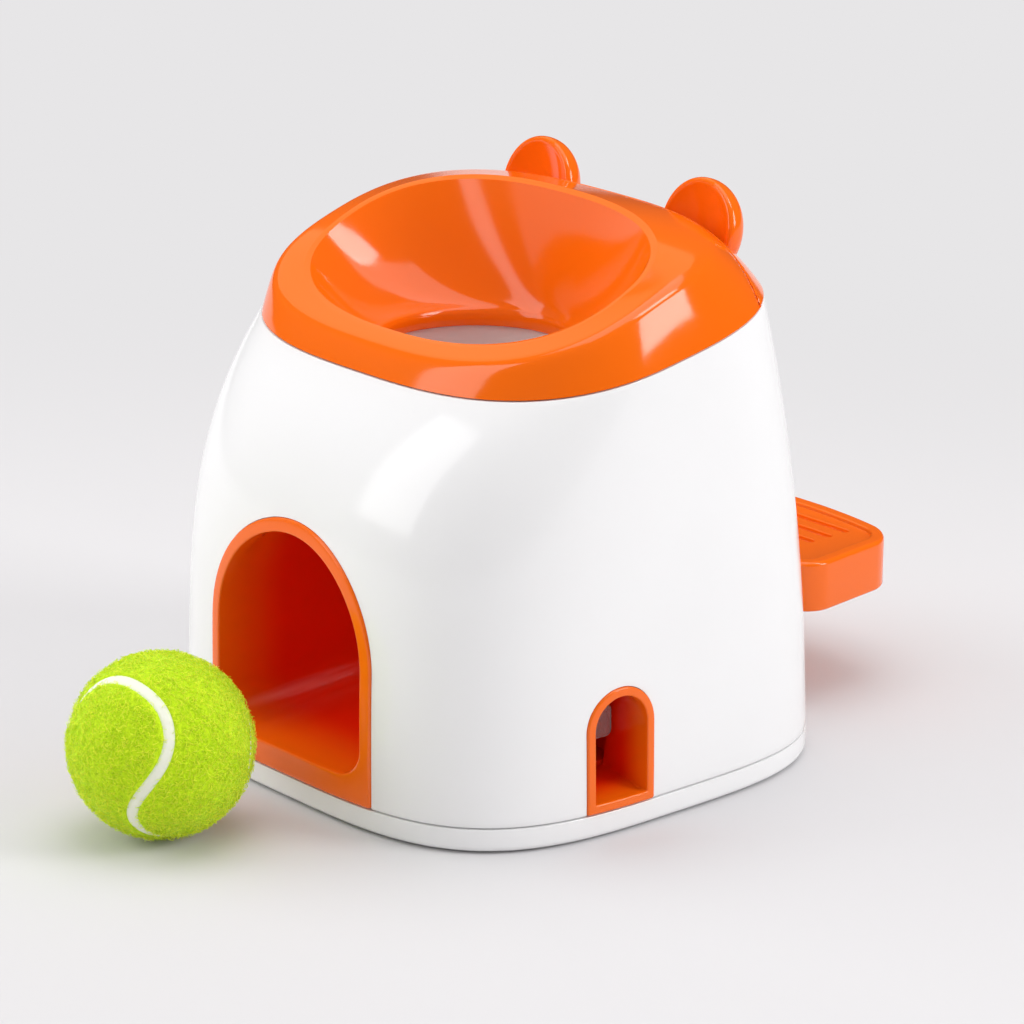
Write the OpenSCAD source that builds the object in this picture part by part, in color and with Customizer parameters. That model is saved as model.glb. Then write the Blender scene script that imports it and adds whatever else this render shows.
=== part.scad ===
// Ball-drop treat dispenser for dogs.
// A ball dropped in the bowl falls through the tube, tips the trip paddle and rolls out of the arch.
// The paddle, or the pedal at the back, turns the dosing drum, and a treat slides to the side outlet.
// Frame: floor under the middle of the base, front (arch) -Y, treat outlet +X, pedal +Y, up +Z.

/* [Body] */
// Width of the body at its base
body_w = 196; // [190:1:204]
// Depth of the body at its base
body_d = 190; // [184:1:198]
// Height of the body's top edge over the middle
seam_z = 160; // [157:0.5:164]
// Rise of the top edge towards the back, per mm
seam_rise = 0.18; // [0.16:0.01:0.2]
// How far the sides lean in at the top edge
side_lean = 5; // [3:0.5:7]
// How far the front leans back at the top edge
front_lean = 40; // [37:0.5:42]
// How far the back leans in at the top edge
rear_lean = 15; // [13:0.5:16]
// Squareness of the outline at the base, 2 is an ellipse
square_low = 3.4; // [3.2:0.1:3.6]
// Squareness of the outline at the top edge
square_top = 2.9; // [2.8:0.1:3.1]
// Wall of the shell, cover and lid
wall = 2.5; // [2.2:0.1:3]

/* [Base] */
// Height of the parting line between base and shell
base_h = 9.5; // [9:0.5:11]
// Thickness of the base floor
floor_t = 3.5; // [3.5:0.5:5]
// Thickness of the rubber feet, let in flush with the underside
foot_h = 1.5; // [1:0.5:2]
// Diameter of a rubber foot
foot_d = 14; // [10:1:18]
// Height of the pads that carry the inner pieces
pad_h = 4.5; // [4:0.5:6]

/* [Bowl and lid] */
// Height of the bowl's mouth over its middle
mouth_z = 180.5; // [178:0.5:182]
// Half width of the bowl's mouth
mouth_hx = 73.7; // [70:0.5:76]
// Half depth of the bowl's mouth
mouth_hy = 41; // [39:0.5:43]
// Place of the bowl's middle, front to back
mouth_y = -8.7; // [-10:0.1:-7]
// Diameter of the drop hole
hole_d = 68; // [67:0.5:70]
// Place of the drop hole, front to back
hole_y = -9.5; // [-11:0.5:-8]
// Height of the throat's lower edge
throat_z = 146; // [144:0.5:148]
// Length of the throat
throat_h = 6; // [5:0.5:8]
// Place of the lid's front edge
lid_y = 48.5; // [47.5:0.5:50]
// Gap between lid and cover
lid_gap = 0.5; // [0.4:0.1:0.8]
// Half width of an ear
ear_r = 18; // [16:0.5:20]
// Thickness of an ear
ear_t = 13; // [11:0.5:14]
// Depth of the dish in an ear's front
ear_dish = 4.5; // [3:0.5:5]
// Distance of an ear from the middle
ear_x = 42.5; // [40:0.5:44]
// Height of an ear's middle
ear_z = 188; // [187:0.5:189]
// Place of an ear's front face
ear_y = 54.5; // [54:0.5:57]
// Backward lean of an ear
ear_lean = 14; // [10:1:16]
// Diameter of the lid's hinge pin
hinge_pin_d = 2.4; // [2:0.1:3]

/* [Ball and arch] */
// Diameter of the ball
ball_d = 65; // [63:0.5:66]
// Place of the ball in front of the arch
ball_y = -146; // [-152:1:-140]
// Outer width of the arch frame
arch_w = 88; // [87:0.5:92]
// Width of the arch frame's border
arch_border = 4.8; // [4:0.2:5]
// Height of the arch's round top, at its centre
arch_spring = 57; // [55:0.5:58]
// Height of the arch's sill
arch_sill = 18.5; // [17:0.5:19.5]
// Slope of the ball tunnel
tunnel_tilt = 4.2; // [3.5:0.1:5]
// Place of the tunnel's end wall
tunnel_end = 35.5; // [35:0.5:36]
// Wall of the tunnel, tube and chutes
thin = 2; // [1.6:0.2:2.4]

/* [Treat outlet] */
// Outer width of the outlet frame
spout_w = 28.5; // [27:0.5:30]
// Width of the outlet frame's border
spout_border = 3.2; // [2.8:0.2:3.6]
// Height of the outlet's round top, at its centre
spout_spring = 38.5; // [37:0.5:40]
// Height of the outlet's sill
spout_sill = 13; // [12.5:0.5:14]
// Place of the outlet, front to back
spout_y = -27.3; // [-29:0.1:-25]
// Slope of the outlet's floor
spout_tilt = 8; // [6:0.5:9]
// Depth of the flap inside the outlet
flap_depth = 17; // [15:0.5:19]
// Height of the flap
flap_h = 19; // [17:0.5:20]
// Diameter of the flap's pin
flap_pin_d = 2; // [1.6:0.1:2.2]

/* [Pedal] */
// Width of the pedal's tread
pedal_w = 108; // [100:1:112]
// Length of the pedal's tread
pedal_len = 58; // [54:1:62]
// How much narrower the tread is at its end, on each side
pedal_taper = 6.5; // [4:0.5:9]
// How far the middle of the tread's end stands out past its corners
pedal_bow = 8; // [4:0.5:10]
// Thickness of the pedal
pedal_t = 18.5; // [16:0.5:19]
// Height of the pedal's top
pedal_top = 55.5; // [53:0.5:56]
// Gap between the body and the tread
pedal_gap = 8; // [7:0.5:11]
// Width of the pedal's neck
neck_w = 56; // [50:1:58]
// Height of the neck above the pedal's underside
neck_h = 10; // [9:0.5:11]
// Travel of the pedal in degrees
pedal_travel = 13; // [10:0.5:13]
// Number of grooves in the tread
groove_count = 4; // [3:1:5]
// Distance between grooves
groove_pitch = 9; // [8:0.5:9.5]
// Length of a groove
groove_len = 60; // [50:1:66]

/* [Mechanism] */
// Distance of the pedal shaft from the body's back, at the shaft's end
pedal_inset = 8.5; // [8:0.5:10]
// Height of the pedal shaft
pedal_z = 44; // [43:0.5:45]
// Diameter of the pedal shaft
pedal_shaft_d = 6; // [5:0.5:6.5]
// Place of the drum shaft, front to back
drum_y = 46; // [45:0.5:47]
// Diameter of the drum shaft
drum_shaft_d = 5; // [4:0.5:5]
// Diameter of the dosing drum
drum_d = 36; // [33:0.5:37]
// Module of the gear teeth
tooth_module = 1; // [1:0.05:1.05]
// Teeth on the drum pinion
pinion_teeth = 12; // [12:1:13]
// Teeth on the full circle of the pedal's sector
sector_teeth = 84; // [82:1:86]
// Face width of the gears
gear_face = 6; // [5:0.5:7]
// Reach of the trip paddle from the drum shaft
paddle_reach = 52; // [49:0.5:53]
// Width of the trip paddle
paddle_w = 12; // [10:1:14]
// Thickness of the side plates
plate_t = 3; // [2.5:0.5:3.5]
// Diameter of the screws
screw_d = 3; // [2.5:0.5:3.5]

/* [Hidden] */

orange = "#f0620a";
white = "#f4f4f4";
steel = "#9a9ea3";

// Fits: running clearance on a shaft, seat clearance, clear gap between pieces
run_fit = 0.05;
seat_fit = 0.02;
gap = 0.2;

// Points round each lofted ring
ring_n = 72;
angles = [for (i = [0 : ring_n - 1]) i * 360 / ring_n];

// Levels that follow from the base
base_floor = floor_t;
pad_z = base_floor + pad_h;
lean_z = seam_z - 5;
back_y = body_d / 2;

// Opening of the arch, and the tunnel behind it, a little wider so that the ball meets no edge
arch_in = arch_w - 2 * arch_border;
tunnel_ease = 0.6;
tunnel_in = arch_in + 2 * tunnel_ease;

// Places across the body: the chute lies between the tunnel and the pan's end, and the drum and its
// plate line up with the chute
side_gap = 2;
pan_room = 23;
pan_lip = 4;
drum_play = 0.6;
pan_end = body_w / 2 - pan_room;
chute_x = [tunnel_in / 2 + thin + side_gap, pan_end - pan_lip];
drum_x = chute_x[0] + thin + drum_play;
drum_len = chute_x[1] - thin - drum_play - drum_x;
left_plate_x = -40;
right_plate_x = chute_x[1] + side_gap;
gear_x = 14;

// Body outline: the walls lean in towards the top
function lift(z) = max(0, (z - base_h) / (lean_z - base_h));
function half_width(z) = body_w / 2 - side_lean * pow(lift(z), 2);
function front_depth(z) = body_d / 2 - front_lean * pow(lift(z), 4.5);
function rear_depth(z) = body_d / 2 - rear_lean * pow(lift(z), 2.3);
function squareness(z) = square_low + (square_top - square_low) * lift(z);
// Share of the depth that is left at a distance from the middle
function depth_left(x, z) = pow(1 - pow(abs(x) / half_width(z), squareness(z)), 1 / squareness(z));
function front_y(x, z) = -front_depth(z) * depth_left(x, z);
function rear_y(x, z) = rear_depth(z) * depth_left(x, z);

// Places of the mechanism in the side view
shaft_end = 3;
pedal_y = rear_y(right_plate_x + plate_t + shaft_end, pedal_z) - pedal_inset;
gear_distance = tooth_module * (pinion_teeth + sector_teeth) / 2;
drum_z = pedal_z + sqrt(pow(gear_distance, 2) - pow(pedal_y - drum_y, 2));
mesh_angle = atan2(drum_z - pedal_z, drum_y - pedal_y);
lobe_r = 8;

// Superellipse in polar form, with its own front and rear half depths
function oval(a, hx, front, rear, n) =
    let (hy = sin(a) < 0 ? front : rear)
    let (r = pow(pow(abs(cos(a)) / hx, n) + pow(abs(sin(a)) / hy, n), -1 / n))
    [r * cos(a), r * sin(a)];

// Point of the body's outline at an angle and a height
function body_xy(a, z, off) =
    oval(a, half_width(z) + off, front_depth(z) + off, rear_depth(z) + off, squareness(z));

// Point of the sloping top edge, found by a few rounds of stepping towards it
function seam_pt(a, off, z = seam_z, left = 8) =
    let (p = body_xy(a, z, off))
    left == 0 ? [p[0], p[1], z] : seam_pt(a, off, seam_z + seam_rise * p[1], left - 1);

// Closed skin over rings of equal length: a ring-shaped solid when looped, else capped
module skin(rings, looped = false) {
    n = len(rings[0]);
    m = len(rings);
    sides = [for (i = [0 : looped ? m - 1 : m - 2], j = [0 : n - 1])
        let (k = (i + 1) % m, l = (j + 1) % n)
        each [[i * n + j, k * n + j, k * n + l], [i * n + j, k * n + l, i * n + l]]];
    last = (m - 1) * n;
    caps = looped ? [] : [for (j = [0 : n / 2 - 2])
        let (a = j, b = j + 1, c = n - 2 - j, d = n - 1 - j)
        each [[a, b, c], [a, c, d], [last + c, last + b, last + a], [last + d, last + c, last + a]]];
    polyhedron([for (r = rings) each r], concat(sides, caps));
}

// Curved plate that follows the body's wall between two angles and two heights
module wall_patch(a0, a1, z0, z1, inner, outer) {
    na = 14;
    nz = 9;
    skin([for (k = [0 : nz])
        let (z = z0 + (z1 - z0) * k / nz)
        concat(
            [for (i = [0 : na]) let (p = body_xy(a0 + (a1 - a0) * i / na, z, outer)) [p[0], p[1], z]],
            [for (i = [na : -1 : 0])
                let (p = body_xy(a0 + (a1 - a0) * i / na, z, inner)) [p[0], p[1], z]])]);
}

// Arch outline: straight sides, round top, and rounded bottom corners where asked
module arch_2d(w, bottom, spring, corner = 0) {
    translate([0, spring]) circle(d = w, $fn = 64);
    translate([-w / 2, bottom + corner]) square([w, spring - bottom - corner]);
    if (corner > 0) {
        translate([-w / 2 + corner, bottom]) square([w - 2 * corner, 2 * corner]);
        for (s = [-1, 1]) translate([s * (w / 2 - corner), bottom + corner]) circle(r = corner, $fn = 48);
    }
}

// Extrusions of an outline that stands upright: along Y from y0 to y1, or along X from x0 to x1
module along_y(y0, y1) {
    translate([0, y1, 0]) rotate([90, 0, 0]) linear_extrude(y1 - y0) children();
}
module along_x(x0, x1) {
    translate([x0, 0, 0]) rotate([90, 0, 90]) linear_extrude(x1 - x0) children();
}
// Cylinder along X from x0 to x1 at a place in the side view
module rod_x(x0, x1, y, z, r) {
    translate([x0, y, z]) rotate([0, 90, 0]) cylinder(h = x1 - x0, r = r, $fn = 48);
}

// Pan head screw, head down at z = 0, shank up
head_d = screw_d * 1.9;
head_t = 1.7;
module pan_screw(len) {
    cylinder(h = head_t, d = head_d, $fn = 32);
    translate([0, 0, head_t]) cylinder(h = len, d = screw_d, $fn = 32);
}

// Base tray: rounded lower edge, wall up to the parting line, pads and screw holes
shell_screw_places = [for (sx = [-1, 1], y = [-58, 50]) [sx * (body_w / 2 - 14), y]];
chute_screw_places = [for (sx = [-1, 1], y = [-58, 6]) [sx * 26, y]];
foot_places = [for (sx = [-1, 1], sy = [-1, 1]) [sx * (body_w / 2 - 34), sy * (body_d / 2 - 34)]];
plate_y0 = drum_y - lobe_r;
plate_y1 = pedal_y + lobe_r - 2;
plate_screw_y = [plate_y0 + 6, plate_y1 - 6];
flange_w = 12;
plate_flange_x = [left_plate_x - flange_w + plate_t, right_plate_x - flange_w + plate_t];
plate_screw_x = [for (x = plate_flange_x) x + (flange_w - plate_t) / 2];
spring_arm = 15;
spring_y = pedal_y + spring_arm;
spring_r = 5;
edge_round = 3;
trough_screw_y = [14, drum_y - 4];
trough_screw_places = [for (y = trough_screw_y) [(chute_x[0] + chute_x[1]) / 2, y]];
screw_sink = 0.4;
module base_tray() {
    color(white) difference() {
        union() {
            difference() {
                skin([for (s = [[0, -edge_round], [0.6, -1.3], [1.6, -0.4], [edge_round, 0], [base_h, 0]])
                    [for (a = angles) let (p = body_xy(a, base_h, s[1])) [p[0], p[1], s[0]]]]);
                translate([0, 0, base_floor]) linear_extrude(base_h)
                    polygon([for (a = angles) body_xy(a, base_h, -wall)]);
            }
            for (i = [0, 1])
                translate([plate_flange_x[i], plate_y0, base_floor - 0.5])
                    cube([flange_w, plate_y1 - plate_y0, pad_h + 0.5]);
            translate([0, spring_y, base_floor - 0.5])
                cylinder(h = pad_h + 0.5, r = spring_r + 2, $fn = 48);
            for (p = trough_screw_places)
                translate([p[0], p[1], base_floor - 0.5]) cylinder(h = pad_h + 0.5, r = 6, $fn = 32);
        }
        for (p = concat(shell_screw_places, chute_screw_places, trough_screw_places))
            translate([p[0], p[1], 0]) {
                cylinder(h = base_h + pad_h, d = screw_d + 2 * gap, $fn = 32);
                cylinder(h = screw_sink + head_t, d = head_d + 2 * gap, $fn = 32);
            }
        for (x = plate_screw_x, y = plate_screw_y)
            translate([x, y, 1.5]) cylinder(h = base_h + pad_h, d = screw_d + 2 * seat_fit, $fn = 32);
        for (p = foot_places)
            translate([p[0], p[1], -1]) cylinder(h = foot_h + 1, d = foot_d + 2 * seat_fit, $fn = 48);
    }
}

module rubber_feet() {
    color("#3a3a3a") for (p = foot_places)
        translate([p[0], p[1], 0]) cylinder(h = foot_h, d = foot_d, $fn = 48);
}

shell_boss_h = 22;
shell_boss_r = 5;
shell_screw_len = 14;
shell_boss_top = base_floor + shell_boss_h;
module base_screws() {
    color(steel) for (p = shell_screw_places)
        translate([p[0], p[1], screw_sink]) pan_screw(shell_screw_len);
}

// White shell: lofted wall, screw bosses, and cut-outs for arch, outlet and pedal
wall_levels = [for (k = [0 : 9]) k / 9];
function shell_ring(f, off) = [for (a = angles)
    let (top = seam_pt(a, off)[2], z = base_h + f * (top - base_h))
    let (p = body_xy(a, z, off)) [p[0], p[1], z]];
slot_play = 0.8;
neck_bottom = pedal_top - pedal_t;
slot_low = neck_bottom - (back_y - pedal_y + wall) * sin(pedal_travel) - 1.5;
slot_high = neck_bottom + neck_h + slot_play;
knuckle_r = 3;
knuckle_len = 9;
hinge_drop = 6;
back_edge = seam_pt(90, 0);
hinge_z = back_edge[2] - hinge_drop;
hinge_wall = body_xy(90, hinge_z, 0)[1];
hinge_y = hinge_wall + knuckle_r + lid_gap;
module body_shell() {
    color(white) difference() {
        union() {
            skin(concat([for (f = wall_levels) shell_ring(f, 0)],
                [for (i = [len(wall_levels) - 1 : -1 : 0]) shell_ring(wall_levels[i], -wall)]), true);
            for (p = shell_screw_places) translate([p[0], p[1], base_floor + gap]) {
                cylinder(h = shell_boss_top - base_floor, r = shell_boss_r, $fn = 32);
                rotate([0, 0, atan2(p[1], p[0])]) translate([0, -thin / 2, base_h - base_floor])
                    cube([norm(body_xy(atan2(p[1], p[0]), base_h, -wall / 2)) - norm(p), thin,
                        shell_boss_top - base_h]);
            }
            for (s = [-1, 1]) hinge_knuckle(s * (knuckle_len + lid_gap))
                translate([hinge_wall - wall * 0.6, hinge_z - knuckle_r])
                    square([hinge_y - hinge_wall + wall * 0.6, 2 * knuckle_r]);
        }
        along_y(-body_d, -body_d / 4) arch_2d(arch_w + 2 * gap, 0, arch_spring);
        translate([0, spout_y, 0]) along_x(body_w / 4, body_w) arch_2d(spout_w + 2 * gap, 0, spout_spring);
        translate([-neck_w / 2 - slot_play, body_d / 4, slot_low])
            cube([neck_w + 2 * slot_play, body_d / 2, slot_high - slot_low]);
        for (p = shell_screw_places) translate([p[0], p[1], 0])
            cylinder(h = shell_boss_top - 2, d = screw_d + 2 * seat_fit, $fn = 32);
        rod_x(-40, 40, hinge_y, hinge_z, hinge_pin_d / 2 + seat_fit);
    }
}

// Hinge knuckle with its middle at x, and the outline of the arm that joins it to its piece
module hinge_knuckle(x) {
    rod_x(x - knuckle_len / 2, x + knuckle_len / 2, hinge_y, hinge_z, knuckle_r);
    along_x(x - knuckle_len / 2, x + knuckle_len / 2) children();
}

// Cap: the skirt rises from the seam to the crest round the bowl, which falls to the throat
crest_hx = 86;
crest_front = 53;
crest_rear = 57;
crest_y = -5;
function crest_z(y) = mouth_z - 0.5 + 0.3345 * (y - crest_y) - 0.00145 * pow(y - crest_y, 2);
function mouth_height(y) = mouth_z + 0.439 * (y - mouth_y) - 0.00066 * pow(y - mouth_y, 2);
function crest_pt(a, off) = let (p = oval(a, crest_hx + off, crest_front + off, crest_rear + off, 2.7))
    [p[0], p[1] + crest_y, crest_z(p[1] + crest_y)];
function mouth_pt(a, off) = let (p = oval(a, mouth_hx + off, mouth_hy + off, mouth_hy + off, 2.4))
    [p[0], p[1] + mouth_y, mouth_height(p[1] + mouth_y)];
function hole_pt(a, r, z) = [r * cos(a), r * sin(a) + hole_y, z];
// Skirt between seam and crest: mostly straight and a little rounded over, f runs from 0 to 1
skirt_straight = 0.72;
function skirt_out(f) = (1 - skirt_straight) * pow(cos(90 * f), 1.15) + skirt_straight * (1 - f);
function skirt_up(f) = (1 - skirt_straight) * pow(sin(90 * f), 1.15) + skirt_straight * f;
function skirt_pt(a, f, off, drop, lift_off = 0) =
    let (s = seam_pt(a, off), c = crest_pt(a, off / 2), u = skirt_out(f), v = skirt_up(f))
    let (low = s[2] + lift_off)
    [c[0] + (s[0] - c[0]) * u, c[1] + (s[1] - c[1]) * u, low + (c[2] - drop - low) * v];
// Bowl between mouth and hole: steep at the mouth and flatter near the hole
hole_r = hole_d / 2;
bowl_low = throat_z + throat_h;
bowl_curve = 1.9;
// The underside stands off sideways as well as down, so that the steep walls keep their thickness
function bowl_pt(a, f, drop) =
    let (off = drop > 0 ? 2 : 0, v = 1 - pow(1 - f, bowl_curve))
    let (m = mouth_pt(a, off - 1), h = hole_pt(a, hole_r + 0.6 + off, bowl_low))
    [m[0] + (h[0] - m[0]) * f, m[1] + (h[1] - m[1]) * f, m[2] - 0.4 - drop + (h[2] + 0.4 - m[2]) * v];
skirt_steps = [0, 0.2, 0.4, 0.6, 0.8, 1];
bowl_steps = [0, 0.1, 0.22, 0.36, 0.5, 0.66, 0.84, 1];
throat_t = 2;
under = wall * 1.25;
function band_pt(a, f, drop) = let (c = crest_pt(a, 0), m = mouth_pt(a, 1))
    [c[0] + (m[0] - c[0]) * f, c[1] + (m[1] - c[1]) * f, c[2] + (m[2] - c[2]) * f - drop];
// The lid's part of the cap stands a little off the shell's edge
lid_seat = 0.3;
module cap_skin(lift_off = 0) {
    back = [for (i = [len(bowl_steps) - 2 : -1 : 0]) bowl_steps[i]];
    down = [for (i = [len(skirt_steps) - 1 : -1 : 0]) skirt_steps[i]];
    skin(concat(
        [for (f = skirt_steps) [for (a = angles) skirt_pt(a, f, 0, 0, lift_off)]],
        [for (f = [0.5, 1]) [for (a = angles) band_pt(a, f, 0)]],
        [for (f = bowl_steps) [for (a = angles) bowl_pt(a, f, 0)]],
        [[for (a = angles) hole_pt(a, hole_r, bowl_low - 0.8)],
            [for (a = angles) hole_pt(a, hole_r, throat_z)],
            [for (a = angles) hole_pt(a, hole_r + throat_t, throat_z)],
            [for (a = angles) hole_pt(a, hole_r + throat_t, bowl_low - under)]],
        [for (f = back) [for (a = angles) bowl_pt(a, f, under)]],
        [for (f = [1, 0.5]) [for (a = angles) band_pt(a, f, under)]],
        [for (f = down) [for (a = angles) skirt_pt(a, f, -wall, under, lift_off)]]), true);
}
// Solid under the cap's outer face, used to seat the ears on the lid
module cap_block() {
    skin(concat([for (f = skirt_steps) [for (a = angles) skirt_pt(a, f, 0, 0, lid_seat)]],
        [[for (a = angles) band_pt(a, 1, 0)]]));
}
// Everything behind the lid's front edge
module lid_side(off) {
    translate([-body_w, lid_y + off, seam_z - 40]) cube([2 * body_w, body_d, 120]);
}
module funnel_cover() {
    color(orange) difference() {
        cap_skin();
        lid_side(0);
    }
}

// Ears: round lobes with a rounded back and a dished front, seated on the lid
ear_n = 40;
ear_round = 2.4;
ear_edge = 1.5;
ear_rim = 1.9;
// Rows of an ear from back to front: distance behind its front face, and radius
ear_rows = concat(
    [for (t = [0.996, 0.97, 0.9, 0.78, 0.6, 0.4, 0.2, 0])
        [ear_round + (ear_t - ear_round) * t, ear_r * pow(1 - pow(t, 2.3), 1 / 2.3)]],
    [for (b = [30, 60, 90]) [ear_round * (1 - sin(b)), ear_r - ear_edge * (1 - cos(b))]]);
dish_r = (pow(ear_r - ear_rim, 2) + pow(ear_dish, 2)) / (2 * ear_dish);
module ear(s) {
    color(orange) difference() {
        skin([for (row = ear_rows) [for (j = [0 : ear_n - 1])
            let (a = 360 * j / ear_n, up = row[1] * sin(a))
            [s * ear_x + row[1] * cos(a), ear_y + row[0] * cos(ear_lean) + up * sin(ear_lean),
                ear_z - row[0] * sin(ear_lean) + up * cos(ear_lean)]]]);
        translate([s * ear_x, ear_y - (dish_r - ear_dish) * cos(ear_lean),
            ear_z + (dish_r - ear_dish) * sin(ear_lean)]) sphere(r = dish_r, $fn = 96);
        cap_block();
        translate([-body_w, 0, 0]) cube([2 * body_w, body_d, back_edge[2] + 1]);
    }
}
module left_ear() ear(-1);
module right_ear() ear(1);

module hopper_lid() {
    color(orange) difference() {
        union() {
            intersection() {
                cap_skin(lid_seat);
                lid_side(lid_gap);
            }
            hinge_knuckle(0) polygon([back_edge + [0, -1.6, 0.9], back_edge + [0, 0.9, 0.9],
                [0, hinge_y - 2.9, hinge_z + 0.6], [0, hinge_y + 2.9, hinge_z + 0.6],
                back_edge + [0, 3.6, 4.5], back_edge + [0, -2.2, 5.5]] * [[0, 0], [1, 0], [0, 1]]);
        }
        rod_x(-40, 40, hinge_y, hinge_z, hinge_pin_d / 2 + run_fit);
    }
}

module lid_hinge_pin() {
    color(steel) rod_x(-1.5 * knuckle_len - lid_gap, 1.5 * knuckle_len + lid_gap, hinge_y, hinge_z,
        hinge_pin_d / 2);
}

// Ball tunnel: a collar that follows the front wall, and a sloping arched tube with an end wall
arch_corner = 12;
collar_proud = 0.8;
collar_depth = 9;
tunnel_front = -body_d / 2 + 6;
tube_r = hole_r + throat_t + gap;
slot_w = paddle_w + 3;
module tunnel_tilted() {
    translate([0, -body_d / 2, arch_sill]) rotate([tunnel_tilt, 0, 0])
        translate([0, body_d / 2, -arch_sill]) children();
}
tunnel_sill = arch_sill - tunnel_ease;
module tunnel_outer(grow) {
    tunnel_tilted() along_y(tunnel_front, tunnel_end + thin + grow)
        arch_2d(tunnel_in + 2 * thin + 2 * grow, tunnel_sill - thin - grow, arch_spring, arch_corner);
}
// Points round an arch, counted alike for every size so that two arches can be joined
function arch_points(w, bottom, spring, corner) = concat(
    [for (i = [0 : 24]) let (a = 7.5 * i) [w / 2 * cos(a), spring + w / 2 * sin(a)]],
    [for (i = [1 : 4]) [-w / 2, spring + (bottom + corner - spring) * i / 4]],
    [for (i = [1 : 6]) let (a = 180 + 15 * i)
        [-w / 2 + corner + corner * cos(a), bottom + corner + corner * sin(a)]],
    [for (i = [1 : 8]) [-w / 2 + corner + (w - 2 * corner) * i / 8, bottom]],
    [for (i = [1 : 6]) let (a = 270 + 15 * i)
        [w / 2 - corner + corner * cos(a), bottom + corner + corner * sin(a)]],
    [for (i = [1 : 3]) [w / 2, bottom + corner + (spring - bottom - corner) * i / 4]]);
module arch_collar() {
    outer = arch_points(arch_w, base_h + gap, arch_spring, 1.5);
    inner = arch_points(arch_in, arch_sill, arch_spring, arch_corner);
    skin([for (c = [[0, -collar_depth], [0, 0.2], [0.2, collar_proud], [0.8, collar_proud], [1, 0.2],
            [1, -collar_depth]])
        [for (k = [0 : len(outer) - 1]) let (p = outer[k] + (inner[k] - outer[k]) * c[0])
            [p[0], front_y(p[0], p[1]) - c[1], p[1]]]], true);
}
module ball_chute() {
    color(orange) difference() {
        union() {
            arch_collar();
            tunnel_outer(0);
            for (p = chute_screw_places) translate([p[0], p[1], base_floor])
                cylinder(h = 24, r = 5, $fn = 32);
        }
        tunnel_tilted() along_y(tunnel_front - 1, tunnel_end)
            arch_2d(tunnel_in, tunnel_sill, arch_spring, arch_corner);
        translate([0, hole_y, arch_spring]) cylinder(h = 100, r = tube_r, $fn = 96);
        translate([-slot_w / 2, tunnel_end - 12, 45]) cube([slot_w, 24, 58]);
        for (p = chute_screw_places) translate([p[0], p[1], 0])
            cylinder(h = base_floor + 9, d = screw_d + 2 * seat_fit, $fn = 32);
    }
}
module chute_screws() {
    color(steel) for (p = chute_screw_places) translate([p[0], p[1], screw_sink]) pan_screw(9);
}

// Drop tube: hangs on the throat and saddles the tunnel's round roof
module drop_tube() {
    color(white) difference() {
        translate([0, hole_y, arch_spring])
            cylinder(h = bowl_low - under - gap - arch_spring, r = tube_r + thin, $fn = 96);
        translate([0, hole_y, 0]) cylinder(h = 200, r = tube_r, $fn = 96);
        tunnel_outer(gap);
    }
}

// Hopper: a bin that follows the shell's back, with a floor that falls to the drum
hopper_y0 = 37;
hopper_top = seam_z + 5;
hopper_mid = 126;
hopper_t = 1.8;
hopper_hx = body_w / 2 - 32;
hopper_corner = 4;
outlet_x = [drum_x + 3, drum_x + drum_len - 3];
outlet_y = 8;
drum_r = drum_d / 2;
guard_r = drum_r + 0.8;
guard_low = drum_r * 0.45;
guard_join = 1;
hopper_low = drum_z + guard_r + hopper_t - guard_join;
leg_z = 112;
leg_y = [drum_y - 5, drum_y + 5];
function bin_outline(inset) = concat(
    [for (a = angles) let (p = body_xy(a, hopper_top, -wall - 1.6 - inset))
        if (p[1] > hopper_y0 + inset + 1 && abs(p[0]) < hopper_hx - inset) p],
    [for (s = [-1, 1]) [s * (hopper_hx - hopper_corner - inset), hopper_y0 + inset]]);
module bin_floor(inset, top, low) {
    hull() {
        translate([0, 0, top - 0.2]) linear_extrude(0.2) polygon(bin_outline(inset));
        translate([outlet_x[0] - hopper_t + inset, drum_y - outlet_y - hopper_t + inset, low])
            cube([outlet_x[1] - outlet_x[0] + 2 * (hopper_t - inset),
                2 * (outlet_y + hopper_t - inset), 0.2]);
    }
}
module treat_hopper() {
    color("#e9ecee") difference() {
        union() {
            translate([0, 0, hopper_mid - 0.1]) linear_extrude(hopper_top - hopper_mid)
                polygon(bin_outline(0));
            bin_floor(0, hopper_mid, hopper_low);
            intersection() {
                rod_x(drum_x - 1.5, drum_x + drum_len + 1.5, drum_y, drum_z, guard_r + hopper_t);
                translate([drum_x - 2 * hopper_t, drum_y - guard_r - 2 * hopper_t, drum_z + guard_low])
                    cube([drum_len + 4 * hopper_t, 2 * guard_r + 4 * hopper_t, guard_r + 2 * hopper_t]);
            }
            translate([left_plate_x - 6, leg_y[0], leg_z]) cube([12, leg_y[1] - leg_y[0], 3]);
            translate([left_plate_x + 3, leg_y[0], leg_z])
                cube([3, leg_y[1] - leg_y[0], hopper_mid - leg_z]);
            translate([drum_x + drum_len - 4, leg_y[0], leg_z])
                cube([right_plate_x + 6 - drum_x - drum_len + 4, leg_y[1] - leg_y[0], 3]);
        }
        translate([0, 0, hopper_mid]) linear_extrude(100) polygon(bin_outline(hopper_t));
        bin_floor(hopper_t, hopper_mid + 0.1, hopper_low - 0.2);
        translate([outlet_x[0], drum_y - outlet_y, drum_z])
            cube([outlet_x[1] - outlet_x[0], 2 * outlet_y, hopper_low - drum_z]);
        rod_x(drum_x - 10, drum_x + drum_len + 10, drum_y, drum_z, guard_r);
        for (x = [left_plate_x - 2, right_plate_x + 3]) translate([x, drum_y, leg_z - 1])
            cylinder(h = 6, d = screw_d + 2 * gap, $fn = 32);
    }
}
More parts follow.
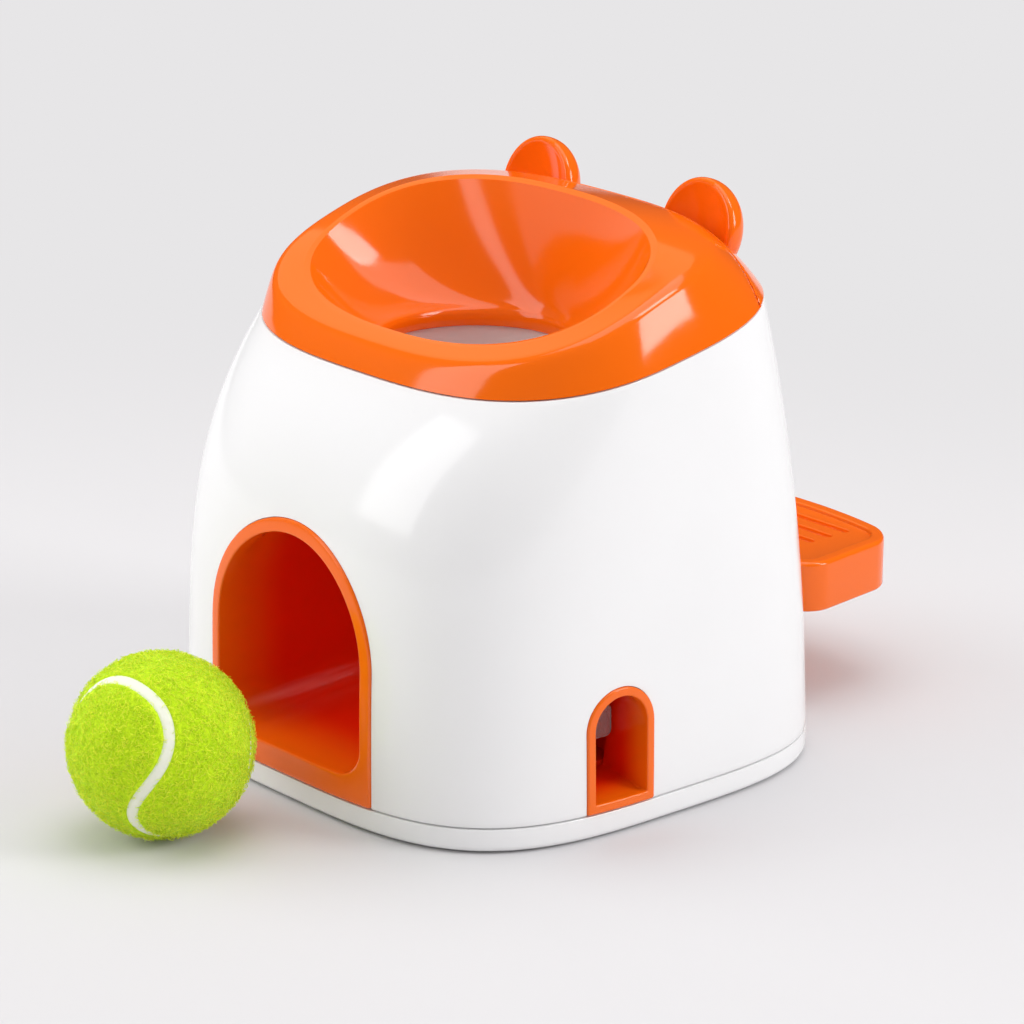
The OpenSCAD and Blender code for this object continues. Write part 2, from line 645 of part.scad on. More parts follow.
module hopper_screws() {
    color(steel) for (x = [left_plate_x - 2, right_plate_x + 3])
        translate([x, drum_y, leg_z + 3 + head_t]) mirror([0, 0, 1]) pan_screw(7);
}

// Side plates: uprights with a foot flange and a top flange, bored for the shafts and their bushes
bush_r = 4.5;
plate_screw_len = 8;
module side_plate(x, flange_x, top_x) {
    color("#d7dade") difference() {
        union() {
            along_x(x, x + plate_t) {
                translate([plate_y0, pad_z]) square([2 * lobe_r, leg_z - pad_z]);
                translate([plate_y0, pad_z]) square([pedal_y - plate_y0, pedal_z - pad_z]);
                translate([pedal_y, pedal_z]) circle(r = lobe_r - 2, $fn = 48);
                translate([pedal_y - lobe_r, pad_z]) square([2 * lobe_r - 2, pedal_z - pad_z]);
            }
            translate([flange_x, plate_y0, pad_z]) cube([flange_w, plate_y1 - plate_y0, 3]);
            translate([top_x, leg_y[0], leg_z - 8]) cube([8, leg_y[1] - leg_y[0], 8]);
        }
        rod_x(x - 1, x + plate_t + 1, drum_y, drum_z, bush_r + seat_fit);
        rod_x(x - 1, x + plate_t + 1, pedal_y, pedal_z, pedal_shaft_d / 2 + seat_fit);
        for (y = plate_screw_y) translate([flange_x + flange_w / 2 - plate_t / 2, y, pad_z - 1])
            cylinder(h = 6, d = screw_d + 2 * gap, $fn = 32);
        translate([top_x + 4, drum_y, leg_z - 7]) cylinder(h = 10, d = screw_d + 2 * seat_fit, $fn = 32);
    }
}
module left_side_plate() side_plate(left_plate_x, plate_flange_x[0], left_plate_x - 6);
module right_side_plate() side_plate(right_plate_x, plate_flange_x[1], right_plate_x - 1);
module plate_screws() {
    color(steel) for (x = plate_screw_x, y = plate_screw_y)
        translate([x, y, pad_z + 3 + head_t])
            mirror([0, 0, 1]) pan_screw(plate_screw_len);
}
module shaft_bushes() {
    color("#b08d4f") for (x = [left_plate_x, right_plate_x]) difference() {
        rod_x(x, x + plate_t, drum_y, drum_z, bush_r);
        rod_x(x - 1, x + plate_t + 1, drum_y, drum_z, drum_shaft_d / 2 + run_fit);
    }
}

// Shafts and the clips that hold them
module shaft_clip(x, y, z, r) {
    difference() {
        rod_x(x, x + 1, y, z, r + 2.2);
        rod_x(x - 1, x + 2, y, z, r + seat_fit);
    }
}
module pedal_shaft() {
    color(steel) rod_x(left_plate_x - shaft_end, right_plate_x + plate_t + shaft_end, pedal_y, pedal_z,
        pedal_shaft_d / 2);
}
module pedal_shaft_clips() {
    color("#6e7276") for (x = [left_plate_x - 1 - gap, right_plate_x + plate_t + gap])
        shaft_clip(x, pedal_y, pedal_z, pedal_shaft_d / 2);
}
module drum_shaft() {
    color(steel) rod_x(left_plate_x - shaft_end, right_plate_x + plate_t + shaft_end, drum_y, drum_z,
        drum_shaft_d / 2);
}
module drum_shaft_clips() {
    color("#6e7276") for (x = [left_plate_x - 1.3, right_plate_x + plate_t + 0.3])
        shaft_clip(x, drum_y, drum_z, drum_shaft_d / 2);
}

// Involute teeth, 25 degree pressure angle, with a little play so that the pair turns freely
press_angle = 25;
tooth_play = 0.12;
addendum = 0.9 * tooth_module;
dedendum = 1.2 * tooth_module;
flank_steps = 6;
function involute(a) = tan(a) * 180 / PI - a;
function half_tooth(r, teeth) =
    let (pitch = teeth * tooth_module / 2, base = pitch * cos(press_angle))
    90 / teeth - tooth_play / pitch * 90 / PI + involute(press_angle) - involute(acos(min(1, base / r)));
function ray(r, a) = [r * cos(a), r * sin(a)];
function tooth_points(teeth, middle) =
    let (pitch = teeth * tooth_module / 2, base = pitch * cos(press_angle))
    let (root = pitch - dedendum, low = max(root, base), high = pitch + addendum)
    let (radii = [for (i = [0 : flank_steps]) low + (high - low) * i / flank_steps])
    concat(root < low ? [ray(root, middle - half_tooth(low, teeth))] : [],
        [for (r = radii) ray(r, middle - half_tooth(r, teeth))],
        [for (i = [flank_steps : -1 : 0]) ray(radii[i], middle + half_tooth(radii[i], teeth))],
        root < low ? [ray(root, middle + half_tooth(low, teeth))] : []);
module drum_pinion() {
    color("#e8e3d4") difference() {
        along_x(gear_x, gear_x + gear_face) translate([drum_y, drum_z])
            polygon([for (k = [0 : pinion_teeth - 1])
                each tooth_points(pinion_teeth, mesh_angle + 180 + (k + 0.5) * 360 / pinion_teeth)]);
        rod_x(gear_x - 1, gear_x + gear_face + 1, drum_y, drum_z, drum_shaft_d / 2 + seat_fit);
    }
}

// Pedal lever: hub on the shaft, tongue under the pedal's neck, and the toothed sector
hub_r = 7;
tongue_t = 3.5;
tongue_end = back_y - wall - 3;
tongue_w = neck_w - 8;
sector_pitch = 360 / sector_teeth;
sector_after = ceil(pedal_travel / sector_pitch) + 1;
pedal_screw_x = 15;
pedal_screw_y = back_y - 10;
sector_root = sector_teeth * tooth_module / 2 - dedendum;
module pedal_lever() {
    color("#d7dade") difference() {
        union() {
            rod_x(left_plate_x + plate_t + gap, right_plate_x - gap, pedal_y, pedal_z, hub_r);
            along_x(-tongue_w / 2, tongue_w / 2) {
                translate([pedal_y - hub_r, neck_bottom - tongue_t])
                    square([tongue_end - pedal_y + hub_r, tongue_t]);
                translate([pedal_y - hub_r, neck_bottom - tongue_t])
                    square([2 * hub_r - 2, pedal_z - neck_bottom + tongue_t]);
            }
            along_x(gear_x + 0.5, gear_x + gear_face - 0.5) translate([pedal_y, pedal_z])
                polygon(concat([[0, 0]],
                    [ray(sector_root, mesh_angle - 1.5 * sector_pitch)],
                    [for (k = [-1 : sector_after])
                        each tooth_points(sector_teeth, mesh_angle + k * sector_pitch)],
                    [ray(sector_root, mesh_angle + (sector_after + 0.5) * sector_pitch)]));
        }
        rod_x(left_plate_x, right_plate_x + plate_t, pedal_y, pedal_z, pedal_shaft_d / 2 + run_fit);
        for (s = [-1, 1]) translate([s * pedal_screw_x, pedal_screw_y, neck_bottom - tongue_t - 1])
            cylinder(h = tongue_t + 2, d = screw_d + 2 * gap, $fn = 32);
    }
}

// Pedal: tread with a raised rim, sunk panel and cross grooves, on a neck through the slot
tread_y = back_y + pedal_gap;
tread_low = neck_bottom - 0.5;
end_r = 16;
near_r = 11.5;
rim_w = 6.5;
panel_sink = 1.4;
groove_w = 3.4;
groove_sink = 1.6;
// Tread outline: it narrows towards its end, its corners are rounded and its end is bowed
tread_lean = atan(pedal_taper / pedal_len);
function tread_arc(y, r, a0, a1, inset) =
    let (x = pedal_w / 2 - (y - tread_y) * tan(tread_lean) - (r + inset) / cos(tread_lean))
    [for (i = [0 : 8]) let (a = a0 + (a1 - a0) * i / 8) [x + r * cos(a), y + r * sin(a)]];
function tread_bowed(p) =
    [p[0], p[1] - pedal_bow * pow((p[1] - tread_y) / pedal_len * 2 * p[0] / pedal_w, 2)];
function tread_half(inset) =
    let (side = concat(
            tread_arc(tread_y + near_r, near_r - inset, -90, tread_lean, inset),
            tread_arc(tread_y + pedal_len - end_r, end_r - inset, tread_lean, 90, inset)),
        corner = side[len(side) - 1])
    [for (p = concat(side, [for (k = [5 : -1 : 1]) [corner[0] * k / 6, corner[1]]])) tread_bowed(p)];
function tread_outline(inset) =
    let (h = tread_half(inset), n = len(h))
    concat(h, [for (i = [n - 1 : -1 : 0]) [-h[i][0], h[i][1]]]);
module pedal() {
    color(orange) difference() {
        union() {
            skin([for (s = [[tread_low, 1], [tread_low + 1, 0], [pedal_top - 1.2, 0],
                    [pedal_top - 0.4, 0.4], [pedal_top, 1.2]])
                [for (p = tread_outline(s[1])) [p[0], p[1], s[0]]]]);
            translate([-neck_w / 2, pedal_y + hub_r + 5, neck_bottom])
                cube([neck_w, tread_y + 12 - pedal_y - hub_r - 5, neck_h]);
        }
        translate([0, 0, pedal_top - panel_sink]) linear_extrude(20) polygon(tread_outline(rim_w));
        for (k = [0 : groove_count - 1]) hull() for (s = [-1, 1])
            translate([s * (groove_len - groove_w) / 2, tread_y + pedal_len - rim_w - 7.5 - k * groove_pitch,
                pedal_top - panel_sink - groove_sink]) cylinder(h = 20, d = groove_w, $fn = 24);
        for (s = [-1, 1]) translate([s * pedal_screw_x, pedal_screw_y, neck_bottom - 1])
            cylinder(h = 8, d = screw_d + 2 * seat_fit, $fn = 32);
    }
}
module pedal_screws() {
    color(steel) for (s = [-1, 1])
        translate([s * pedal_screw_x, pedal_screw_y, neck_bottom - tongue_t - head_t])
            pan_screw(tongue_t + 6);
}

// Return spring: one round wire wound up between the base pad and the tongue
wire_r = 0.8;
spring_turns = 6;
spring_low = pad_z + wire_r + 0.1;
spring_high = neck_bottom - tongue_t - wire_r - 0.1;
rings_per_turn = 12;
wire_sides = 6;
// Ring of the wire at turn t, square to the coil
function coil_ring(t) =
    let (a = 360 * t, z = spring_low + (spring_high - spring_low) * t / spring_turns)
    [for (j = [0 : wire_sides - 1])
        let (b = -360 * j / wire_sides, r = spring_r + wire_r * cos(b))
        [r * cos(a), spring_y + r * sin(a), z + wire_r * sin(b)]];
module pedal_spring() {
    color(steel) skin([for (i = [0 : spring_turns * rings_per_turn]) coil_ring(i / rings_per_turn)]);
}

// Dosing drum: a roller with one pocket that is filled under the hopper and emptied to the front
module dosing_drum() {
    color("#e8e3d4") difference() {
        rod_x(drum_x, drum_x + drum_len, drum_y, drum_z, drum_r);
        translate([outlet_x[0], drum_y - outlet_y - 1, drum_z + drum_shaft_d / 2 + 2.5])
            cube([outlet_x[1] - outlet_x[0], 2 * outlet_y + 2, drum_r]);
        rod_x(drum_x - 1, drum_x + drum_len + 1, drum_y, drum_z, drum_shaft_d / 2 + seat_fit);
    }
}
// Trip paddle: a hub and an arm that slopes up into the drop
paddle_angle = 150;
paddle_t = 4;
paddle_tip_r = 3;
paddle_hub_t = 4;
module trip_paddle() {
    color(orange) difference() {
        union() {
            rod_x(-paddle_w / 2, paddle_w / 2, drum_y, drum_z, drum_shaft_d / 2 + paddle_hub_t);
            along_x(-paddle_w / 2, paddle_w / 2) translate([drum_y, drum_z]) rotate(paddle_angle) {
                translate([0, -paddle_t / 2]) square([paddle_reach - paddle_tip_r, paddle_t]);
                translate([paddle_reach - paddle_tip_r, 0]) circle(r = paddle_tip_r, $fn = 32);
            }
        }
        rod_x(-paddle_w, paddle_w, drum_y, drum_z, drum_shaft_d / 2 + seat_fit);
    }
}

// Treat chute: a trough that falls forward beside the tunnel, and a pan that turns the treats outwards
chute_slope = 27;
trough_h = 15;
pan_step = 7;
pan_h = 20;
pan_y = [spout_y - spout_w / 2 - 1, spout_y + spout_w / 2 + 2];
pan_z = spout_sill + 4.6;
pan_slope = 9;
trough_y1 = drum_y + drum_r - 2;
trough_len = (trough_y1 - pan_y[1]) / cos(chute_slope);
module treat_chute() {
    color(orange) difference() {
        union() {
            translate([0, pan_y[1], pan_z + pan_step]) rotate([chute_slope, 0, 0])
                along_y(0, trough_len) translate([chute_x[0], -thin]) difference() {
                    square([chute_x[1] - chute_x[0], trough_h]);
                    translate([thin, thin]) square([chute_x[1] - chute_x[0] - 2 * thin, trough_h]);
                }
            difference() {
                translate([chute_x[0], pan_y[0] - thin, pan_z - thin - 1])
                    cube([pan_end - chute_x[0], pan_y[1] - pan_y[0] + 2 * thin, pan_h]);
                translate([pan_end, pan_y[0], pan_z]) rotate([0, pan_slope, 0])
                    translate([chute_x[0] - pan_end + thin, 0, 0])
                        cube([pan_end, pan_y[1] - pan_y[0], 2 * pan_h]);
                translate([chute_x[0] + thin, pan_y[1] - 1, pan_z + pan_step])
                    cube([chute_x[1] - chute_x[0] - 2 * thin, 4 * thin, 2 * pan_h]);
            }
            for (p = trough_screw_places) translate([p[0], p[1], pad_z]) cylinder(h = 60, r = 4, $fn = 32);
        }
        translate([0, pan_y[1], pan_z + pan_step]) rotate([chute_slope, 0, 0]) along_y(-2, 2 * trough_len)
            translate([chute_x[0] + thin, 0]) square([chute_x[1] - chute_x[0] - 2 * thin, trough_len]);
        for (p = trough_screw_places) translate([p[0], p[1], pad_z - 1])
            cylinder(h = 9, d = screw_d + 2 * seat_fit, $fn = 32);
    }
}
module trough_screws() {
    color(steel) for (p = trough_screw_places)
        translate([p[0], p[1], screw_sink]) pan_screw(pad_z + 6 - screw_sink - head_t);
}

// Outlet: a collar that follows the side wall and a short arched tunnel that falls outwards
spout_in = spout_w - 2 * spout_border;
spout_len = 22;
spout_face = body_xy(atan2(spout_y, body_w / 2), spout_sill, 0)[0];
module spout_tilted() {
    translate([spout_face, spout_y, spout_sill]) rotate([0, spout_tilt, 0])
        translate([-spout_face, 0, -spout_sill]) children();
}
flap_x = spout_face - flap_depth;
flap_drop = 4.2;
flap_z = spout_spring + spout_in / 2 - flap_drop + flap_depth * tan(spout_tilt);
flap_hw = 10;
flap_shoulder = 8;
flap_hub_r = 2;
flap_hub_len = 9;
flap_t = 1.6;
flap_neck = 13;
module treat_spout() {
    spout_a = atan2(spout_y, body_w / 2);
    color(orange) difference() {
        union() {
            intersection() {
                wall_patch(spout_a - 14, spout_a + 14, base_h + gap, spout_spring + spout_w / 2 + 4,
                    -8, collar_proud);
                translate([0, spout_y, 0]) along_x(0, body_w) arch_2d(spout_w, base_h + gap, spout_spring);
            }
            spout_tilted() along_x(spout_face - spout_len, spout_face - 5)
                arch_2d(spout_in + 2 * thin, spout_sill - thin, spout_spring);
        }
        translate([0, spout_y, 0]) along_x(spout_face - 6, body_w)
            arch_2d(spout_in, spout_sill, spout_spring);
        spout_tilted() along_x(spout_face - spout_len - 1, spout_face - 5)
            arch_2d(spout_in, spout_sill, spout_spring);
        translate([flap_x, spout_y, flap_z]) rotate([90, 0, 0])
            cylinder(h = 40, r = flap_pin_d / 2 + seat_fit, center = true, $fn = 32);
    }
}
// Flap: a short clear plate that hangs from a pin under the outlet's round top
module treat_flap() {
    color([0.93, 0.95, 0.97, 0.7]) translate([flap_x, spout_y, flap_z]) difference() {
        union() {
            rotate([90, 0, 0]) cylinder(h = flap_hub_len, r = flap_hub_r, center = true, $fn = 32);
            translate([-flap_t / 2, 0, -flap_h]) along_x(0, flap_t) {
                translate([-flap_hw, 0]) square([2 * flap_hw, flap_h - flap_shoulder]);
                translate([-flap_neck / 2, 0]) square([flap_neck, flap_h]);
            }
        }
        rotate([90, 0, 0]) cylinder(h = 40, r = flap_pin_d / 2 + run_fit, center = true, $fn = 32);
    }
}
module flap_pin() {
    color(steel) translate([flap_x, spout_y, flap_z]) rotate([90, 0, 0])
        cylinder(h = 20, r = flap_pin_d / 2, center = true, $fn = 32);
}

// Ball: hollow rubber core, felt cover, and the curved seam strip let into the felt
felt_t = 3;
core_t = 3.2;
ball_x = -3;
ball_r = ball_d / 2;
seam_w = 4;
seam_rings = 96;
seam_rise_angle = 48.9;
seam_lean_angle = 17.2;
seam_swing_angle = 18.6;
ball_turn = [158.1, -27.1, -131.2];
// Seam curve on the ball: it goes up and down twice on its way round, and swings from side to side
function seam_dir(t) =
    let (up = seam_rise_angle * sin(2 * t) + seam_lean_angle * sin(t))
    let (round = t - seam_swing_angle * sin(4 * t))
    [cos(up) * cos(round), cos(up) * sin(round), sin(up)];
function seam_strip(t) =
    let (d = seam_dir(t), ahead = seam_dir(t + 1) - seam_dir(t - 1), side = cross(d, ahead / norm(ahead)))
    [for (c = [[-seam_w / 2, -1.4], [-seam_w / 2, 0], [0, 0.15], [seam_w / 2, 0], [seam_w / 2, -1.4],
            [0, -1.6]])
        d * (ball_r + c[1]) + side * c[0]];
module at_ball() {
    translate([ball_x, ball_y, ball_r]) rotate(ball_turn) children();
}
module ball_core() {
    color("#2c2c2c") at_ball() difference() {
        sphere(r = ball_r - felt_t - seat_fit, $fn = 96);
        sphere(r = ball_r - felt_t - core_t, $fn = 96);
    }
}
module ball_felt() {
    color("#a9d61c") at_ball() difference() {
        sphere(r = ball_r, $fn = 96);
        sphere(r = ball_r - felt_t, $fn = 96);
    }
}
module ball_seam() {
    color("#f2f2ee") at_ball()
        skin([for (k = [0 : seam_rings - 1]) seam_strip(k * 360 / seam_rings)], true);
}

base_tray();
rubber_feet();
base_screws();
body_shell();
funnel_cover();
drop_tube();
ball_chute();
chute_screws();
treat_hopper();
hopper_screws();
treat_chute();
trough_screws();
treat_spout();
treat_flap();
flap_pin();
left_side_plate();
right_side_plate();
plate_screws();
shaft_bushes();
pedal_shaft();
pedal_shaft_clips();
hopper_lid();
left_ear();
right_ear();
lid_hinge_pin();
pedal();
pedal_lever();
pedal_screws();
pedal_spring();
dosing_drum();
drum_shaft();
drum_pinion();
trip_paddle();
drum_shaft_clips();
ball_core();
ball_felt();
ball_seam();
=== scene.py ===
"""Ball-drop treat dispenser for dogs: the look of every piece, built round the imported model.

Lengths in the sections are in millimetres and become metres when a mesh is made.
Frame: floor under the middle of the base, front with the arch -Y, treat outlet +X, pedal +Y, up +Z.
"""
import math

import bmesh
import bpy
import numpy as np
from mathutils import Matrix, Vector


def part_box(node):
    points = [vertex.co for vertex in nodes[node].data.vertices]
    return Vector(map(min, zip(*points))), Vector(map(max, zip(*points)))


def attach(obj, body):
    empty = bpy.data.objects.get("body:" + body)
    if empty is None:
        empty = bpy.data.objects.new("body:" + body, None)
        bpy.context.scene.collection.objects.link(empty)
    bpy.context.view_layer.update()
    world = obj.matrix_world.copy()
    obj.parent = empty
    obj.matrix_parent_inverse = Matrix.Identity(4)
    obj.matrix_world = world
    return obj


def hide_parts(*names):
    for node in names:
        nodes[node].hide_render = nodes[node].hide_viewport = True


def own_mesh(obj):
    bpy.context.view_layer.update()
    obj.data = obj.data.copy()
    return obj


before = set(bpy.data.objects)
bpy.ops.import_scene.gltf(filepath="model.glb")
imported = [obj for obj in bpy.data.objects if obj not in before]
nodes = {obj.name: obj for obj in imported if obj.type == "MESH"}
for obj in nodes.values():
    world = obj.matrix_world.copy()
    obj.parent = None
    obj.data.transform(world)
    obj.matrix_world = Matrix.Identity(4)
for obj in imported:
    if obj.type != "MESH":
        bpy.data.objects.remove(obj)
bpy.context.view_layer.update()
scene = bpy.context.scene

# Base tray: the white floor of the body, injection moulded, with a rounded lower edge and a low rim.
# The shell stands on the rim over a fine open line and is screwed on from below. Four rubber feet carry it.
MM = 0.001
CREASE = 32
COLUMNS = 384
BODY_HALF_WIDTH = 98
BODY_HALF_DEPTH = 95
BODY_RISE = 145.5
BASE_TOP = 9.5
BASE_FLOOR = 3.5
WALL = 2.5
LINE = 0.5
LINE_DEPTH = 2.0
LINE_LOW = BASE_TOP - LINE
RIM_TOP = BASE_TOP - 0.05
FOOT_STAND = 0.6
FOOT_POCKET = 7.03
FOOT_HEIGHT = 1.5
FOOT_PLACES = [(sx * 64, sy * 61) for sx in (-1, 1) for sy in (-1, 1)]
SHELL_SCREWS = [(sx * 84, y) for sx in (-1, 1) for y in (-58, 50)]
CHUTE_SCREWS = [(sx * 26, y) for sx in (-1, 1) for y in (-58, 6)]
TROUGH_SCREWS = [(57.4, y) for y in (14, 42)]
SCREW_HOLE = [(0, -1), (3.05, -1), (3.05, 2.1), (1.7, 2.1), (1.7, 14), (0, 14)]
SKIN_DEPTH = 0.0004
GLOSS = {"IOR": 1.5}


def full_turn(count):
    """Angles of a full circle."""
    return np.linspace(0, 2 * np.pi, count, endpoint=False)


around = full_turn(COLUMNS)


def row_of(x, y, z):
    """Row of points. A coordinate may be one number for all of them."""
    return np.stack(np.broadcast_arrays(x, y, z), 1).astype(float)


def body_shape(height):
    """Half width, front and rear depth and squareness of the body, which leans in as it rises."""
    rise = np.maximum(0, (height - BASE_TOP) / BODY_RISE)
    front = BODY_HALF_DEPTH - 40 * rise ** 4.5
    rear = BODY_HALF_DEPTH - 15 * rise ** 2.3
    return BODY_HALF_WIDTH - 5 * rise ** 2, front, rear, 3.4 - 0.5 * rise


def oval(half_width, front, rear, square):
    """Rounded square by angle, with its own depths in front and behind."""
    depth = np.where(np.sin(around) < 0, front, rear)
    reach = (np.abs(np.cos(around)) / half_width) ** square + (np.abs(np.sin(around)) / depth) ** square
    reach = reach ** (-1 / square)
    return reach * np.cos(around), reach * np.sin(around)


def body_outline(height, grow):
    """Outline of the body at a height, grown outwards."""
    half_width, front, rear, square = body_shape(height)
    return oval(half_width + grow, front + grow, rear + grow, square)


def loft(rows, looped=False, capped=False):
    """Points and faces over rows of equal length. Looped joins last to first row, capped closes both."""
    rows = np.asarray(rows, float)
    count, width = rows.shape[:2]
    first = np.arange(width)
    second = np.roll(first, -1)
    faces = []
    for i in range(count if looped else count - 1):
        low = i * width
        high = (i + 1) % count * width
        faces += np.stack([low + first, low + second, high + second, high + first], 1).tolist()
    if capped:
        faces.append(first[::-1].tolist())
        faces.append((first + (count - 1) * width).tolist())
    return rows.reshape(-1, 3), faces


def shade(mesh, crease):
    """Smooth shading that keeps edges sharper than the crease angle."""
    mesh.polygons.foreach_set("use_smooth", np.ones(len(mesh.polygons), bool))
    mesh.set_sharp_from_angle(angle=math.radians(crease))


def make(name, shape, material, crease=CREASE):
    """Object from points and faces in millimetres, with doubles merged and faces turned outwards."""
    mesh = bpy.data.meshes.new(name)
    mesh.from_pydata((np.asarray(shape[0]) * MM).tolist(), [], shape[1])
    if material:
        mesh.materials.append(material)
    work = bmesh.new()
    work.from_mesh(mesh)
    bmesh.ops.remove_doubles(work, verts=work.verts, dist=2e-6)
    bmesh.ops.dissolve_degenerate(work, edges=work.edges, dist=1e-7)
    bmesh.ops.recalc_face_normals(work, faces=work.faces)
    work.to_mesh(mesh)
    work.free()
    shade(mesh, crease)
    piece = bpy.data.objects.new(name, mesh)
    scene.collection.objects.link(piece)
    return piece


def settle(piece, crease=CREASE):
    """Turn a piece's modifiers into its mesh and remove them."""
    shaped = piece.evaluated_get(bpy.context.evaluated_depsgraph_get())
    mesh = bpy.data.meshes.new_from_object(shaped)
    piece.modifiers.clear()
    old = piece.data
    piece.data = mesh
    bpy.data.meshes.remove(old)
    mesh.name = piece.name
    shade(mesh, crease)


def combine(piece, tool, operation="DIFFERENCE", crease=CREASE):
    """Cut a tool out of a piece or join it to the piece, and remove the tool."""
    step = piece.modifiers.new("combine", "BOOLEAN")
    step.operation = operation
    step.solver = "MANIFOLD"
    step.object = tool
    settle(piece, crease)
    bpy.data.objects.remove(tool)


def cut(piece, shape, operation="DIFFERENCE", crease=CREASE):
    """Cut a shape out of a piece, or join it to the piece."""
    combine(piece, make("tool", shape, None), operation, crease)


def post(x, y, profile, sides=48):
    """Upright turned shape from a closed profile of radius and height."""
    turn = full_turn(sides)
    return loft([row_of(x + r * np.cos(turn), y + r * np.sin(turn), z) for r, z in profile])


def disc(x, y, radius, low, high, sides=48):
    """Plain upright round tool."""
    return post(x, y, [(0, low), (radius, low), (radius, high), (0, high)], sides)


def rounded(start, end, corner, steps=6):
    """Points of a quarter round between two points, bulging towards the corner point."""
    start, end, corner = (np.array(p, float) for p in (start, end, corner))
    turn = np.linspace(0, np.pi / 2, steps + 1)
    pivot = start + end - corner
    return [tuple(pivot + (start - pivot) * np.cos(t) + (end - pivot) * np.sin(t)) for t in turn]


def feed(tree, node, inputs):
    """Set a node's inputs, each to a constant, another node's output or a list of such outputs."""
    for socket, value in dict(inputs).items():
        for item in value if isinstance(value, list) else [value]:
            if isinstance(item, bpy.types.NodeSocket):
                tree.links.new(item, node.inputs[socket])
            else:
                node.inputs[socket].default_value = item


def add(tree, kind, inputs=(), **settings):
    """Outputs of a new node with the given settings and inputs."""
    node = tree.nodes.new(kind)
    for setting, value in settings.items():
        setattr(node, setting, value)
    feed(tree, node, inputs)
    return node.outputs


def calculate(tree, operation, *values):
    """Output of a math node with two or three values."""
    return add(tree, "ShaderNodeMath", enumerate(values), operation=operation)[0]


def new_group(name, kind, inputs, outputs):
    """Node group with named inputs and outputs: the group, the sockets of its inputs and its output node."""
    group = bpy.data.node_groups.new(name, kind)
    for label, socket_kind, *default in inputs:
        socket = group.interface.new_socket(label, in_out="INPUT", socket_type="NodeSocket" + socket_kind)
        if default:
            socket.default_value = default[0]
    for label, socket_kind in outputs:
        group.interface.new_socket(label, in_out="OUTPUT", socket_type="NodeSocket" + socket_kind)
    return group, add(group, "NodeGroupInput"), group.nodes.new("NodeGroupOutput")


def moulded_surface():
    """Shared surface of moulded plastic: a faintly cloudy colour, uneven polish and a very fine skin."""
    group, entry, leave = new_group(
        "moulded_surface", "ShaderNodeTree",
        (("Colour", "Color", (0.8, 0.8, 0.8, 1)), ("Cloudiness", "Float", 0.02), ("Polish", "Float", 0.2),
         ("Polish Spread", "Float", 0.05), ("Skin Scale", "Float", 900.0)),
        (("Colour", "Color"), ("Roughness", "Float"), ("Height", "Float")))
    place = add(group, "ShaderNodeTexCoord")["Object"]

    def noise(scale, detail):
        """Noise in the piece's own coordinates."""
        return add(group, "ShaderNodeTexNoise", {"Vector": place, "Scale": scale, "Detail": detail})["Fac"]

    def spread(value, middle, amount):
        """Middle plus a share of the amount that the noise gives, from minus one to one."""
        centred = calculate(group, "MULTIPLY_ADD", value, 2, -1)
        return calculate(group, "MULTIPLY_ADD", centred, amount, middle)

    cloud = spread(noise(22, 2), 1.0, entry["Cloudiness"])
    tint = add(group, "ShaderNodeVectorMath", {0: entry["Colour"], "Scale": cloud}, operation="SCALE")[0]
    polish = spread(noise(70, 3), entry["Polish"], entry["Polish Spread"])
    feed(group, leave, {"Colour": tint, "Roughness": polish, "Height": noise(entry["Skin Scale"], 2)})
    return group


def new_material(name, settings):
    """Material with constant values for its shader, its node tree and the shader."""
    material = bpy.data.materials.new(name)
    material.use_nodes = True
    tree = material.node_tree
    shader = tree.nodes["Principled BSDF"]
    feed(tree, shader, settings)
    return material, tree, shader


surface_group = moulded_surface()


def plastic(name, colour, polish, polish_spread=0.03, cloudiness=0.015, skin_scale=900, skin=0.02,
            settings=()):
    """Moulded plastic of a colour and polish. Settings are the shader's own constant values."""
    material, tree, shader = new_material(name, settings)
    surface = add(tree, "ShaderNodeGroup", {
        "Colour": (*colour, 1), "Cloudiness": cloudiness, "Polish": polish, "Polish Spread": polish_spread,
        "Skin Scale": skin_scale}, node_tree=surface_group)
    bump = add(tree, "ShaderNodeBump", {
        "Strength": skin, "Distance": SKIN_DEPTH, "Height": surface["Height"]})
    feed(tree, shader, {"Base Color": surface["Colour"], "Roughness": surface["Roughness"],
                        "Normal": bump["Normal"]})
    return material


def finish_node(node, material):
    """Give a node that keeps its solid its finish."""
    nodes[node].data.materials.clear()
    nodes[node].data.materials.append(material)


white_plastic = plastic("white_gloss", (0.87, 0.868, 0.875), 0.12, settings=GLOSS)
rubber = plastic("dark_rubber", (0.03, 0.03, 0.032), 0.75, cloudiness=0.15, skin_scale=1500, skin=0.2)
tray_profile = [(-9, FOOT_STAND)] + rounded((-2.4, FOOT_STAND), (0, 3), (0, FOOT_STAND), 9)
tray_profile += [(0, 6), (0, LINE_LOW - 0.2), (-0.1, LINE_LOW - 0.05), (-0.25, LINE_LOW)]
tray_profile += [(-LINE_DEPTH, LINE_LOW), (-LINE_DEPTH, RIM_TOP), (-WALL + 0.3, RIM_TOP)]
tray_profile += [(-WALL, RIM_TOP - 0.3), (-WALL, BASE_FLOOR)]
tray_rows = [row_of(*body_outline(BASE_TOP, grow), z) for grow, z in tray_profile]
tray = make("base_tray_moulding", loft(tray_rows, capped=True), white_plastic)
for x, y in FOOT_PLACES:
    cut(tray, disc(x, y, FOOT_POCKET, -1, FOOT_HEIGHT))
for x, y in SHELL_SCREWS + CHUTE_SCREWS + TROUGH_SCREWS:
    cut(tray, post(x, y, SCREW_HOLE, 32))
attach(tray, "dispenser")
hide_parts("base_tray")
finish_node("rubber_feet", rubber)

